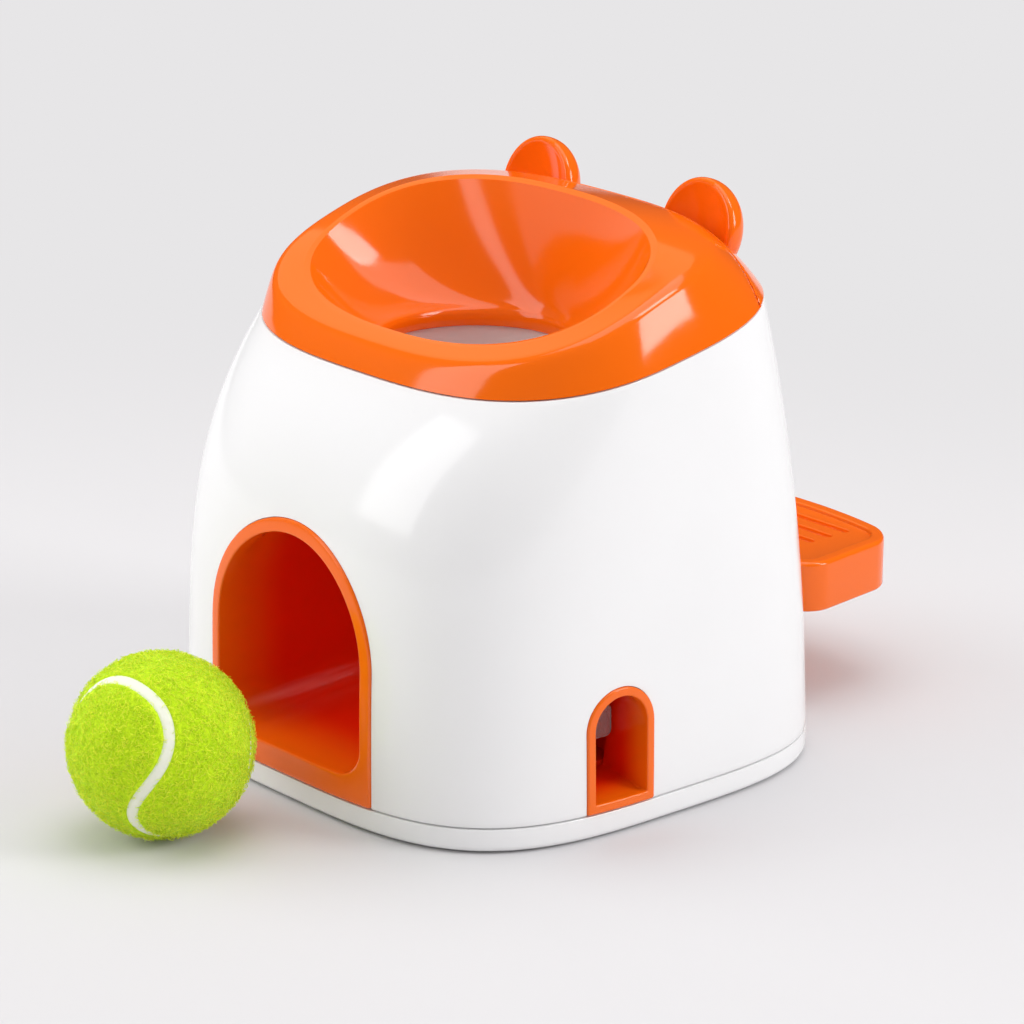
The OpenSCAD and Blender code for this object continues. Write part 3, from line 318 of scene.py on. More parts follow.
# Body shell: the tall white moulding, one wall all round, open above and below.
# It has cut-outs for the arch, the treat outlet and the pedal's neck, and two hinge knuckles at the back.
SEAM_HEIGHT = 160
SEAM_RISE = 0.18
SEAM_STEPS = 9
ARCH_WIDTH = 88
ARCH_SPRING = 57
OUTLET_WIDTH = 28.5
OUTLET_SPRING = 38.5
OUTLET_Y = -27.3
GAP = 0.2
BELOW = -5
OUTSIDE = 130
ARCH_CUT_END = -47
OUTLET_CUT_START = 49
SLOT_START = 60
NECK_WIDTH = 56
NECK_LOW = 37
NECK_HIGH = 47
NECK_ROOM = 0.8
SLOT_LOW = 28.9
HINGE_Y = 80.358
HINGE_Z = 167.542
KNUCKLE_RADIUS = 3
KNUCKLE_HALF = 4.5
KNUCKLE_EDGE = 0.4
KNUCKLE_STEP = 9.5
PIN_RADIUS = 1.2
BOSS_RADIUS = 5
BOSS_BORE = 1.5
SHELL_BOSS = (3.7, 25.5, 23.5)
SHELL_ARM = [(76, HINGE_Z - 2.8), (HINGE_Y - 1.4, HINGE_Z - 2.4),
             (HINGE_Y - 1.4, HINGE_Z + 2.4), (75.2, HINGE_Z + 2.8)]


def seam_ring(grow):
    """Sloping top edge of the body, found by stepping towards the height at which each point lies on it."""
    height = np.full(COLUMNS, float(SEAM_HEIGHT))
    for step in range(SEAM_STEPS):
        x, y = body_outline(height, grow)
        height = SEAM_HEIGHT + SEAM_RISE * y
    return row_of(*body_outline(height, grow), height)


def shell_row(share, grow, lift=0.0, tuck=0.0):
    """Row of the wall at a share of its height, lifted by some millimetres and tucked in at the edges."""
    height = BASE_TOP + share * (seam_ring(grow)[:, 2] - BASE_TOP) + lift
    return row_of(*body_outline(height, grow - tuck), height)


def straight(start, end, steps):
    """Points in even steps towards an end, without the start."""
    return np.linspace(start, end, steps + 1)[1:].tolist()


def arch_outline(width, bottom, spring, corner, crown=48):
    """Upright arch: round top, straight sides, and bottom corners rounded by a radius."""
    half = width / 2
    flat = half - corner
    foot = bottom + corner
    points = [(half * math.cos(t), spring + half * math.sin(t)) for t in np.linspace(0, np.pi, crown + 1)]
    points += straight((-half, spring), (-half, foot), 12)
    points += rounded((-half, foot), (-flat, bottom), (-half, bottom), 12)[1:]
    points += straight((-flat, bottom), (flat, bottom), 20)
    points += rounded((flat, bottom), (half, foot), (half, bottom), 12)[1:]
    points += straight((half, foot), (half, spring), 12)[:-1]
    return np.array(points)


def bar_y(outline, low, high):
    """Bar along Y with an upright outline in X and Z."""
    return loft([row_of(outline[:, 0], y, outline[:, 1]) for y in (high, low)], capped=True)


def bar_x(outline, low, high):
    """Bar along X with an upright outline in Y and Z."""
    return loft([row_of(x, outline[:, 0], outline[:, 1]) for x in (low, high)], capped=True)


def box(low, high):
    """Plain rectangular tool."""
    (x0, y0, z0), (x1, y1, z1) = low, high
    return bar_x(np.array([(y0, z0), (y1, z0), (y1, z1), (y0, z1)], float), x0, x1)


def add_loose(piece, *shapes):
    """Add closed shapes that are moulded in one with the piece."""
    work = bmesh.new()
    work.from_mesh(piece.data)
    for shape in shapes:
        extra = make("extra", shape, None)
        work.from_mesh(extra.data)
        bpy.data.objects.remove(extra)
    work.to_mesh(piece.data)
    work.free()
    shade(piece.data, CREASE)


def knuckle(middle, bore, arm):
    """Bored hinge knuckle round the pin with softened ends, and the arm that carries it."""
    rim = KNUCKLE_RADIUS - KNUCKLE_EDGE
    inner = KNUCKLE_HALF - KNUCKLE_EDGE
    section = [(-KNUCKLE_HALF, bore), (-KNUCKLE_HALF, rim), (-inner, KNUCKLE_RADIUS),
               (inner, KNUCKLE_RADIUS), (KNUCKLE_HALF, rim), (KNUCKLE_HALF, bore)]
    turn = full_turn(40)
    rows = [row_of(middle + x, HINGE_Y + r * np.cos(turn), HINGE_Z + r * np.sin(turn)) for x, r in section]
    half_arm = KNUCKLE_HALF - 0.3
    return loft(rows, looped=True), bar_x(np.array(arm, float), middle - half_arm, middle + half_arm)


def boss(x, y, low, high, bore_end):
    """Screw boss with a blind hole from below."""
    return post(x, y, [(BOSS_BORE, low), (BOSS_RADIUS, low), (BOSS_RADIUS, high), (0, high), (0, bore_end),
                       (BOSS_BORE, bore_end), (BOSS_BORE, low)], 32)


shares = np.linspace(0, 1, 64)[1:-1]
shell_rows = [shell_row(0, 0, 0.05, 0.4), shell_row(0, 0, 0.2, 0.12), shell_row(0, 0, 0.5)]
shell_rows += [shell_row(share, 0) for share in shares]
for drop, tuck in ((LINE + 0.2, 0), (LINE + 0.05, 0.1), (LINE, 0.25), (LINE, LINE_DEPTH), (0, LINE_DEPTH)):
    shell_rows.append(shell_row(1, 0, -drop, tuck))
shell_rows.append(shell_row(1, -WALL))
shell_rows += [shell_row(share, -WALL) for share in shares[::-2]]
shell_rows.append(shell_row(0, -WALL, 0.05))
shell = make("body_shell_moulding", loft(shell_rows, looped=True), white_plastic)
front_opening = arch_outline(ARCH_WIDTH + 2 * GAP, BELOW, ARCH_SPRING, 1)
side_opening = arch_outline(OUTLET_WIDTH + 2 * GAP, BELOW, OUTLET_SPRING, 1) + (OUTLET_Y, 0)
slot_half = NECK_WIDTH / 2 + NECK_ROOM
cut(shell, bar_y(front_opening, -OUTSIDE, ARCH_CUT_END))
cut(shell, bar_x(side_opening, OUTLET_CUT_START, OUTSIDE))
cut(shell, box((-slot_half, SLOT_START, SLOT_LOW), (slot_half, OUTSIDE, NECK_HIGH + NECK_ROOM)))
for side in (-1, 1):
    add_loose(shell, *knuckle(side * KNUCKLE_STEP, PIN_RADIUS + 0.02, SHELL_ARM))
add_loose(shell, *[boss(x, y, *SHELL_BOSS) for x, y in SHELL_SCREWS])
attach(shell, "dispenser")
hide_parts("body_shell")

# Arch and ball tunnel: one orange moulding that is pushed through the shell's front cut-out.
# A round bead frames the arch, and the tunnel behind it slopes up to an end wall under the drop hole.
ARCH_BORDER = 4.8
ARCH_SILL = 18.5
ARCH_CORNER = 12
BEAD = 0.8
TUNNEL_EASE = 0.6
TUNNEL_FRONT = -89
TUNNEL_END = 35.5
TUNNEL_TILT = math.radians(4.2)
THIN = 2
HOLE_Y = -9.5
TUBE_RADIUS = 36.2
CHUTE_BORE_END = 12.4
ORANGE = (0.92, 0.146, 0.003)
PAINTED_SHADE_ORANGE = (0.86, 0.02, 0.001)
PADDLE_SLOT = ((-7.5, TUNNEL_END - 12, 45), (7.5, TUNNEL_END + 12, 103))


def orange_with_painted_shade(name, axis, start, end):
    """Orange plastic, a little less polished, with painted shade that turns it deeper red along one axis
    from a mouth inwards.
    """
    material = plastic(name, ORANGE, 0.16, settings=GLOSS)
    tree = material.node_tree
    along = add(tree, "ShaderNodeSeparateXYZ", {0: add(tree, "ShaderNodeTexCoord")["Object"]})[axis]
    # Painted shade: the colour mixes towards a darker red further in, where less light reaches.
    depth = add(tree, "ShaderNodeMapRange", {"From Min": start * MM, "From Max": end * MM, "Value": along},
                interpolation_type="SMOOTHSTEP")["Result"]
    colour = add(tree, "ShaderNodeMix", {"Factor": depth, 6: (*ORANGE, 1), 7: (*PAINTED_SHADE_ORANGE, 1)},
                 data_type="RGBA")[2]
    feed(tree, next(node for node in tree.nodes if node.type == "GROUP"), {"Colour": colour})
    return material


def front_face(x, z):
    """How far forward the body's wall is at a place in the front view."""
    half_width, front, rear, square = body_shape(z)
    return -front * (1 - (np.abs(x) / half_width) ** square) ** (1 / square)


def between(outer, inner, share):
    """Outline or row part of the way from an outer to an inner one."""
    return outer + (inner - outer) * share


def arch_frame(share, proud):
    """Row of the arch frame, which follows the curve of the body's front."""
    x, z = between(frame_outer, frame_inner, share).T
    return row_of(x, front_face(x, z) - proud, z)


def bead_rows(frame_row, edge, flat):
    """Rows over a frame's bead from its inner to its outer edge: a round, a flat face and a round."""
    turn = np.linspace(0, np.pi / 2, 5)
    rows = [frame_row(1 - edge * (1 - math.cos(t)), BEAD * math.sin(t)) for t in turn]
    rows += [frame_row(share, BEAD) for share in flat]
    return rows + [frame_row(edge * (1 - math.sin(t)), BEAD * math.cos(t)) for t in turn]


def leant(along, up, tilt):
    """Distances along and up, turned by a tilt."""
    return along * math.cos(tilt) - up * math.sin(tilt), along * math.sin(tilt) + up * math.cos(tilt)


def tunnel_row(grow, y):
    """Row of the sloping tunnel, grown outwards by a wall."""
    width = ARCH_WIDTH - 2 * ARCH_BORDER + 2 * TUNNEL_EASE + 2 * grow
    outline = arch_outline(width, ARCH_SILL - TUNNEL_EASE - grow, ARCH_SPRING, ARCH_CORNER + grow)
    back, rise = leant(y + BODY_HALF_DEPTH, outline[:, 1] - ARCH_SILL, TUNNEL_TILT)
    return row_of(outline[:, 0], back - BODY_HALF_DEPTH, rise + ARCH_SILL)


def shrunk(row, share):
    """Row drawn in towards its middle, for an end wall."""
    middle = row.mean(0)
    return middle + (row - middle) * share


orange_plastic = plastic("orange_gloss", ORANGE, 0.1, settings=GLOSS)
# The tunnel's inside carries painted shade: darker red further in from the arch.
tunnel_plastic = orange_with_painted_shade("orange_tunnel", "Y", -94, -62)
frame_outer = arch_outline(ARCH_WIDTH, BASE_TOP + GAP, ARCH_SPRING, 1.5)
frame_inner = arch_outline(ARCH_WIDTH - 2 * ARCH_BORDER, ARCH_SILL, ARCH_SPRING, ARCH_CORNER)
end_row = tunnel_row(0, TUNNEL_END)
outer_end = tunnel_row(THIN, TUNNEL_END + THIN)
tunnel_rows = [shrunk(end_row, 0), shrunk(end_row, 0.94)]
tunnel_rows += [tunnel_row(0, y) for y in np.linspace(TUNNEL_FRONT + 11, TUNNEL_END, 24)[-2::-1]]
tunnel_rows += [arch_frame(1, -5.5), arch_frame(1, -2)]
tunnel_rows += bead_rows(arch_frame, 0.12, np.linspace(0.7, 0.3, 5))
tunnel_rows += [arch_frame(0, -3), arch_frame(0.02, -8)]
tunnel_rows += [tunnel_row(THIN, y) for y in np.linspace(TUNNEL_FRONT + 14, TUNNEL_END, 16)]
tunnel_rows += [outer_end, shrunk(outer_end, 0)]
tunnel = make("arch_tunnel", loft(tunnel_rows), tunnel_plastic)
cut(tunnel, disc(0, HOLE_Y, TUBE_RADIUS, ARCH_SPRING, SEAM_HEIGHT, 128))
cut(tunnel, box(*PADDLE_SLOT))
for x, y in CHUTE_SCREWS:
    top = ARCH_SILL - 1.5 + (y + BODY_HALF_DEPTH) * math.tan(TUNNEL_TILT)
    add_loose(tunnel, boss(x, y, BASE_FLOOR, top, CHUTE_BORE_END))
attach(tunnel, "dispenser")
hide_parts("ball_chute")

# Treat outlet: a small orange arch pushed through the shell's side, with a short tunnel that falls outwards.
# Its frame follows the side wall, and it meets the treat chute inside the body.
OUTLET_BORDER = 3.2
OUTLET_SILL = 13
OUTLET_CORNER = 0.6
OUTLET_TILT = math.radians(8)
OUTLET_LENGTH = 22
OUTLET_FACE = 97.578


def outlet_outline(grow):
    """Inner outline of the outlet, grown outwards."""
    width = OUTLET_WIDTH - 2 * OUTLET_BORDER + 2 * grow
    return arch_outline(width, OUTLET_SILL - grow, OUTLET_SPRING, OUTLET_CORNER + grow, 32)


def side_face(y, z):
    """How far out the body's right wall is at a place in the side view."""
    half_width, front, rear, square = body_shape(z)
    return half_width * (1 - (np.abs(y) / np.where(y < 0, front, rear)) ** square) ** (1 / square)


def outlet_frame(share, proud):
    """Row of the outlet's frame, which follows the curve of the body's side."""
    y, z = (between(outlet_outer, outlet_outline(0), share) + (OUTLET_Y, 0)).T
    return row_of(side_face(y, z) + proud, y, z)


def outlet_row(grow, inward):
    """Row of the outlet's sloping tunnel, at a distance inwards from its face."""
    outline = outlet_outline(grow)
    back, rise = leant(inward, outline[:, 1] - OUTLET_SILL, OUTLET_TILT)
    return row_of(OUTLET_FACE - back, outline[:, 0] + OUTLET_Y, OUTLET_SILL + rise)


outlet_outer = arch_outline(OUTLET_WIDTH, BASE_TOP + GAP, OUTLET_SPRING, 0.8, 32)
outlet_rows = [outlet_row(0, d) for d in np.linspace(OUTLET_LENGTH, 10.5, 8)]
outlet_rows += [outlet_frame(1, -4), outlet_frame(1, -1.5)]
outlet_rows += bead_rows(outlet_frame, 0.16, np.linspace(0.65, 0.35, 4))
outlet_rows += [outlet_frame(0, -3), outlet_frame(0, -7)]
outlet_rows += [outlet_row(THIN, d) for d in np.linspace(13, OUTLET_LENGTH, 6)]
# The outlet's inside carries painted shade: darker red further in from its mouth.
outlet_plastic = orange_with_painted_shade("orange_outlet", "X", 96, 84)
outlet = make("treat_outlet", loft(outlet_rows, looped=True), outlet_plastic)
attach(outlet, "dispenser")
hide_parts("treat_spout")

# Flap: a small clear sheet with rounded corners that hangs from a pin under the outlet's round top.
# A treat pushes it open and it falls shut behind.
FLAP_X = 80.578
FLAP_Z = 47.739
FLAP_HALF = 10
FLAP_NECK = 6.5
FLAP_HEIGHT = 19
FLAP_SHOULDER = 8
FLAP_LAYERS = ((0.3, -0.8), (0, -0.5), (0, 0.5), (0.3, 0.8))
HUB_PROFILE = ((-4.5, 1.05), (-4.5, 1.7), (-4.2, 2), (4.2, 2), (4.5, 1.7), (4.5, 1.05))


def flap_outline(inset):
    """Outline of the flap in its own plane: broad below, narrow at the hub."""
    half = FLAP_HALF - inset
    low = -FLAP_HEIGHT + inset
    shoulder = -FLAP_SHOULDER - inset
    neck = FLAP_NECK - inset
    points = rounded((half, low + 2), (half - 2, low), (half, low))[::-1]
    points += rounded((half, shoulder - 1.5), (half - 1.5, shoulder), (half, shoulder))
    points += [(neck, shoulder), (neck, -0.4)]
    right = np.array(points)
    return np.concatenate([right, right[::-1] * (-1, 1)])


clear_plastic = plastic("clear_sheet", (0.95, 0.94, 0.93), 0.06,
                        settings={"IOR": 1.45, "Transmission Weight": 0.82})
flap_rows = [row_of(FLAP_X + x, *(flap_outline(inset) + (OUTLET_Y, FLAP_Z)).T) for inset, x in FLAP_LAYERS]
turn = full_turn(32)
hub_rows = [row_of(FLAP_X + r * np.cos(turn), OUTLET_Y + y, FLAP_Z + r * np.sin(turn))
            for y, r in HUB_PROFILE]
flap = make("outlet_flap", loft(flap_rows, capped=True), clear_plastic)
add_loose(flap, loft(hub_rows, looped=True))
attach(flap, "flap")
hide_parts("treat_flap")

# Inside: the drop tube, hopper, chute, drum, shafts and plates keep their solids and get their finishes.
# They show through the drop hole, the outlet and the opened lid.
milky_plastic = plastic("milky_satin", (0.78, 0.79, 0.8), 0.42, 0.05, 0.03, 1200, 0.05)
grey_plastic = plastic("grey_satin", (0.42, 0.44, 0.46), 0.45, 0.06, 0.04, 1200, 0.08)
cream_plastic = plastic("cream_satin", (0.76, 0.71, 0.6), 0.42, 0.05, 0.03, 1200, 0.06)
steel = plastic("plain_steel", (0.55, 0.56, 0.57), 0.3, 0.08, 0.03, 1600, 0.05, {"Metallic": 1.0})
bronze = plastic("sintered_bronze", (0.5, 0.33, 0.14), 0.4, 0.1, 0.08, 2400, 0.2, {"Metallic": 1.0})
# The treat chute takes the outlet's orange, with its painted shade darkening further in.
INNER_FINISHES = {
    "drop_tube": white_plastic, "treat_hopper": milky_plastic, "treat_chute": outlet_plastic,
    "left_side_plate": grey_plastic, "right_side_plate": grey_plastic, "pedal_lever": grey_plastic,
    "dosing_drum": cream_plastic, "drum_pinion": cream_plastic, "trip_paddle": orange_plastic,
    "shaft_bushes": bronze, "pedal_shaft": steel, "drum_shaft": steel, "pedal_shaft_clips": steel,
    "drum_shaft_clips": steel, "flap_pin": steel, "lid_hinge_pin": steel,
    "hopper_screws": steel, "plate_screws": steel, "pedal_screws": steel,
}
for node, finish in INNER_FINISHES.items():
    finish_node(node, finish)

# Screws: pan heads with a cross recess, driven up through the base into the shell, tunnel and chute.
# One tree turns a screw and sets it on every place of its group.
HEAD_RADIUS = 2.85
HEAD_HEIGHT = 1.7
HEAD_LOW = 0.4
SHANK_RADIUS = 1.5


def finished(tree, instances, finish):
    """Instances made real, with a material."""
    solid = add(tree, "GeometryNodeRealizeInstances", {"Geometry": instances})["Geometry"]
    return add(tree, "GeometryNodeSetMaterial", {"Geometry": solid, "Material": finish})["Geometry"]


def joined(tree, x, y, z):
    """Vector from three values."""
    return add(tree, "ShaderNodeCombineXYZ", {"X": x, "Y": y, "Z": z})[0]


def screw_tree():
    """Geometry tree that makes one screw from its sizes and puts a copy on every point."""
    tree, entry, leave = new_group(
        "screws_on_places", "GeometryNodeTree",
        (("Places", "Geometry"), ("Head Radius", "Float", 0.003), ("Head Height", "Float", 0.0017),
         ("Shank Radius", "Float", 0.0015), ("Shank Length", "Float", 0.012), ("Finish", "Material")),
        (("Screws", "Geometry"),))
    radius, height, length = (entry[label] for label in ("Head Radius", "Head Height", "Shank Length"))

    def times(value, factor):
        """Value times a factor."""
        return calculate(tree, "MULTIPLY", value, factor)

    def raised(shape, height):
        """Shape moved up."""
        shift = joined(tree, 0, 0, height)
        return add(tree, "GeometryNodeTransform", {"Geometry": shape, "Translation": shift})["Geometry"]

    head = add(tree, "GeometryNodeMeshCone", {
        "Vertices": 32, "Side Segments": 3, "Depth": height, "Radius Bottom": times(radius, 0.86),
        "Radius Top": radius})["Mesh"]
    bar_size = joined(tree, times(radius, 1.1), times(radius, 0.28), height)
    bar = add(tree, "GeometryNodeMeshCube", {"Size": bar_size})["Mesh"]
    crossed = add(tree, "GeometryNodeTransform", {
        "Geometry": bar, "Rotation": (0, 0, math.pi / 2)})["Geometry"]
    lower = times(height, -0.35)
    bars = [raised(bar, lower), raised(crossed, lower)]
    recess = add(tree, "GeometryNodeMeshBoolean", {"Mesh 1": head, "Mesh 2": bars},
                 operation="DIFFERENCE")["Mesh"]
    shank = add(tree, "GeometryNodeMeshCylinder", {
        "Vertices": 24, "Radius": entry["Shank Radius"], "Depth": length})["Mesh"]
    shank = raised(shank, calculate(tree, "ADD", times(length, 0.5), height))
    whole = add(tree, "GeometryNodeJoinGeometry", {"Geometry": [shank, recess]})["Geometry"]
    placed = add(tree, "GeometryNodeInstanceOnPoints", {"Points": entry["Places"], "Instance": whole})
    feed(tree, leave, {"Screws": finished(tree, placed["Instances"], entry["Finish"])})
    return tree


def grow_nodes(name, mesh, tree, values):
    """Object whose mesh comes from a geometry tree with the given inputs."""
    piece = bpy.data.objects.new(name, mesh.copy())
    scene.collection.objects.link(piece)
    step = piece.modifiers.new("grow", "NODES")
    step.node_group = tree
    for item in tree.interface.items_tree:
        if item.in_out == "INPUT" and item.name in values:
            step[item.identifier] = values[item.name]
    settle(piece)
    return piece


screws = screw_tree()
for name, node, places, length in (("shell_screw_set", "base_screws", SHELL_SCREWS, 14),
                                   ("tunnel_screw_set", "chute_screws", CHUTE_SCREWS, 9),
                                   ("chute_screw_set", "trough_screws", TROUGH_SCREWS, 11.9)):
    spots = bpy.data.meshes.new(name)
    spots.from_pydata([(x * MM, y * MM, HEAD_LOW * MM) for x, y in places], [], [])
    values = {"Head Radius": HEAD_RADIUS * MM, "Head Height": HEAD_HEIGHT * MM,
              "Shank Radius": SHANK_RADIUS * MM, "Shank Length": length * MM, "Finish": steel}
    screw_set = grow_nodes(name, spots, screws, values)
    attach(screw_set, "dispenser")
    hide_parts(node)

# Funnel cover and rear lid: one orange cap in form, moulded in two. The skirt rounds over to a band,
# and the band falls into the bowl, which ends in a throat round the drop hole.
MOUTH_Y = -8.7
MOUTH_Z = 180.5
MOUTH_HALF = (73.7, 41, 41)
MOUTH_SLOPE = 0.439
MOUTH_CURVE = 0.00066
CREST_Y = -5
CREST_Z = MOUTH_Z - 0.5
CREST_HALF = (86, 53, 57)
CREST_SLOPE = 0.3345
CREST_CURVE = 0.00145
HOLE_RADIUS = 34
BOWL_LOW = 152
THROAT_LOW = 146
THROAT_WALL = 2
UNDER = WALL * 1.25
COVER_SEAT = 0.05
LID_Y = 48.5
LID_GAP = 0.5
LID_SEAT = 0.3
LID_EDGE = ((1.0, 0), (0.5, 0.08), (0.2, 0.25), (0, 0.55))
SKIRT_STRAIGHT = 0.72
SKIRT_ROUND = 1.15
CREST_SOFTNESS = 2.2
MOUTH_SOFTNESS = 0.5
BOWL_CURVE = 1.9


def crest_ring(grow):
    """Ridge round the cap where the skirt meets the band."""
    x, y = oval(*(half + grow for half in CREST_HALF), 2.7)
    return row_of(x, y + CREST_Y, CREST_Z + CREST_SLOPE * y - CREST_CURVE * y ** 2)


def mouth_ring(grow):
    """Edge of the bowl."""
    x, y = oval(*(half + grow for half in MOUTH_HALF), 2.4)
    return row_of(x, y + MOUTH_Y, MOUTH_Z + MOUTH_SLOPE * y - MOUTH_CURVE * y ** 2)


def hole_ring(radius, height):
    """Ring round the drop hole."""
    return row_of(radius * np.cos(around), radius * np.sin(around) + HOLE_Y, height)


def skirt_row(share, grow, drop, seat=0.0):
    """Row of the skirt between the body's top edge and the crest, rounded over."""
    low = seam_ring(grow)
    low[:, 2] += seat
    high = crest_ring(grow / 2)
    turn = share * math.pi / 2
    out = (1 - SKIRT_STRAIGHT) * math.cos(turn) ** SKIRT_ROUND + SKIRT_STRAIGHT * (1 - share)
    up = (1 - SKIRT_STRAIGHT) * math.sin(turn) ** SKIRT_ROUND + SKIRT_STRAIGHT * share
    row = between(high, low, out)
    row[:, 2] = low[:, 2] + (high[:, 2] - drop - low[:, 2]) * up
    return row


def band_row(share, drop):
    """Row of the band between crest and mouth."""
    return between(crest_ring(0), mouth_ring(1), share) - (0, 0, drop)


def bowl_row(share, drop):
    """Row of the bowl, steep at the mouth and flatter below. The underside also stands off sideways."""
    off = THROAT_WALL if drop else 0
    high = mouth_ring(off - 1)
    row = between(high, hole_ring(HOLE_RADIUS + 0.6 + off, BOWL_LOW), share)
    fall = 1 - (1 - share) ** BOWL_CURVE
    row[:, 2] = high[:, 2] - 0.4 - drop + (BOWL_LOW + 0.4 - high[:, 2]) * fall
    return row


def softened(rows, widths):
    """Rows smoothed along each profile, so that edges become soft rounds of about those widths."""
    rows = np.asarray(rows)
    steps = np.linalg.norm(np.diff(rows, axis=0), axis=2)
    along = np.concatenate([np.zeros((1, rows.shape[1])), np.cumsum(steps, 0)])
    share = np.gradient(along, axis=0)
    soft = rows.copy()
    for i in range(1, len(rows) - 1):
        reach = np.minimum(along[i], along[-1] - along[i])
        spread = np.minimum(widths[i], reach / 2 + 1e-6)
        weight = np.exp(-0.5 * ((along - along[i]) / spread) ** 2) * share
        soft[i] = (rows * weight[..., None]).sum(0) / weight.sum(0)[:, None]
    return list(soft)


def eased(count):
    """Shares from nought to one, closer together at both ends."""
    return (1 - np.cos(np.linspace(0, np.pi, count))) / 2


def cap_rows(seat):
    """All rows of the cap: outer face from seam to throat, then back along the underside."""
    outer = [skirt_row(s, 0, 0, seat) for s in eased(48)]
    outer += [band_row(s, 0) for s in eased(20)[1:]]
    outer += [bowl_row(s, 0) for s in eased(56)]
    throat = (BOWL_LOW - 0.8, BOWL_LOW - 2, THROAT_LOW + 1.5, THROAT_LOW + 0.4)
    outer += [hole_ring(HOLE_RADIUS, z) for z in throat]
    widths = [CREST_SOFTNESS] * 50 + list(np.linspace(CREST_SOFTNESS, MOUTH_SOFTNESS, 17))
    widths += [MOUTH_SOFTNESS] * 20 + list(np.linspace(MOUTH_SOFTNESS, CREST_SOFTNESS, len(outer) - 87))
    inner = [hole_ring(HOLE_RADIUS + 0.4, THROAT_LOW), hole_ring(HOLE_RADIUS + THROAT_WALL, THROAT_LOW),
             hole_ring(HOLE_RADIUS + THROAT_WALL, BOWL_LOW - UNDER)]
    inner += [bowl_row(s, UNDER) for s in np.linspace(0.97, 0, 24)]
    inner += [band_row(s, UNDER) for s in (1, 0.66, 0.33)]
    inner += [skirt_row(s, -WALL, UNDER, seat) for s in np.linspace(1, 0, 16)]
    return [skirt_row(0, -0.35, 0, seat)] + softened(outer, widths) + inner


def sliced(piece, offset, keep_behind):
    """Keep a closed piece in front of or behind an upright plane, round its edge and close the cut."""
    work = bmesh.new()
    work.from_mesh(piece.data)
    inwards = 1 if keep_behind else -1
    for distance, sink in LID_EDGE:
        everything = work.verts[:] + work.edges[:] + work.faces[:]
        last = distance == 0
        found = bmesh.ops.bisect_plane(
            work, geom=everything, plane_co=(0, (offset + inwards * distance) * MM, 0), plane_no=(0, 1, 0),
            clear_inner=last and keep_behind, clear_outer=last and not keep_behind, dist=1e-7)
        work.normal_update()
        points = [item for item in found["geom_cut"] if isinstance(item, bmesh.types.BMVert)]
        shifts = [Vector((p.normal.x, 0, p.normal.z)).normalized() * sink * MM for p in points]
        for point, shift in zip(points, shifts):
            point.co -= shift
    edges = [item for item in found["geom_cut"] if isinstance(item, bmesh.types.BMEdge)]
    bmesh.ops.triangle_fill(work, use_beauty=True, use_dissolve=False, edges=edges, normal=(0, 1, 0))
    bmesh.ops.recalc_face_normals(work, faces=work.faces)
    work.to_mesh(piece.data)
    work.free()
    shade(piece.data, CREASE)
    for face in piece.data.polygons:
        if abs(face.center.y - offset * MM) < 1e-5:
            face.use_smooth = False


cover = make("funnel_cover_moulding", loft(cap_rows(COVER_SEAT), looped=True), orange_plastic)
sliced(cover, LID_Y, False)
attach(cover, "dispenser")
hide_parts("funnel_cover")

lid = make("rear_lid_moulding", loft(cap_rows(LID_SEAT), looped=True), orange_plastic)
sliced(lid, LID_Y + LID_GAP, True)
back_y, back_z = seam_ring(0)[COLUMNS // 4, 1:]
LID_ARM = [(back_y - 1.6, back_z + 0.9), (back_y + 0.9, back_z + 0.9), (HINGE_Y - 2.7, HINGE_Z + 1),
           (HINGE_Y + 2.6, HINGE_Z + 1), (back_y + 3.6, back_z + 4.5), (back_y - 2.2, back_z + 5.5)]
add_loose(lid, *knuckle(0, PIN_RADIUS + 0.05, LID_ARM))
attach(lid, "lid")
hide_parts("hopper_lid")

# Ears: two thick round lobes moulded on the lid as finger grips.
# They are domed behind, dished in front and lean back with the lid.
EAR_X = 42.5
EAR_Y = 54.5
EAR_Z = 188
EAR_RADIUS = 18
EAR_THICK = 13
EAR_DISH = 4.5
EAR_RIM = 1.9
EAR_EDGE = 1.5
EAR_ROUND = 2.4
EAR_DOME = 2.3
EAR_CREASE = 50
EAR_LEAN = math.radians(14)
dish_radius = ((EAR_RADIUS - EAR_RIM) ** 2 + EAR_DISH ** 2) / (2 * EAR_DISH)
cap_block = [skirt_row(s, -0.8, 0.8, LID_SEAT) for s in np.linspace(0, 1, 20)]
cap_block.append(shrunk(cap_block[-1], 0))
ear_profile = []
for share in np.linspace(0, 1, 22):
    reach = (EAR_RADIUS - EAR_RIM - 0.1) * share
    ear_profile.append((reach, EAR_DISH - dish_radius + math.sqrt(dish_radius ** 2 - reach ** 2)))
for t in np.linspace(0, np.pi / 2, 10):
    reach = EAR_RADIUS - EAR_EDGE + EAR_EDGE * math.sin(t)
    ear_profile.append((reach, EAR_ROUND - (EAR_ROUND - 0.08) * math.cos(t)))
for share in np.sin(np.linspace(0, np.pi / 2, 26))[1:]:
    reach = EAR_RADIUS * max(0, 1 - share ** EAR_DOME) ** (1 / EAR_DOME)
    ear_profile.append((reach, EAR_ROUND + (EAR_THICK - EAR_ROUND) * share))
turn = full_turn(96)
for side, name, node in ((-1, "left_ear_lobe", "left_ear"), (1, "right_ear_lobe", "right_ear")):
    rows = []
    for reach, behind in ear_profile:
        back, rise = leant(behind, reach * np.sin(turn), -EAR_LEAN)
        rows.append(row_of(side * EAR_X + reach * np.cos(turn), EAR_Y + back, EAR_Z + rise))
    ear = make(name, loft(rows), orange_plastic, EAR_CREASE)
    cut(ear, loft(cap_block, capped=True), crease=EAR_CREASE)
    cut(ear, box((-120, 0, 100), (120, 120, back_z + 1)), crease=EAR_CREASE)
    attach(ear, "lid")
    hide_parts(node)

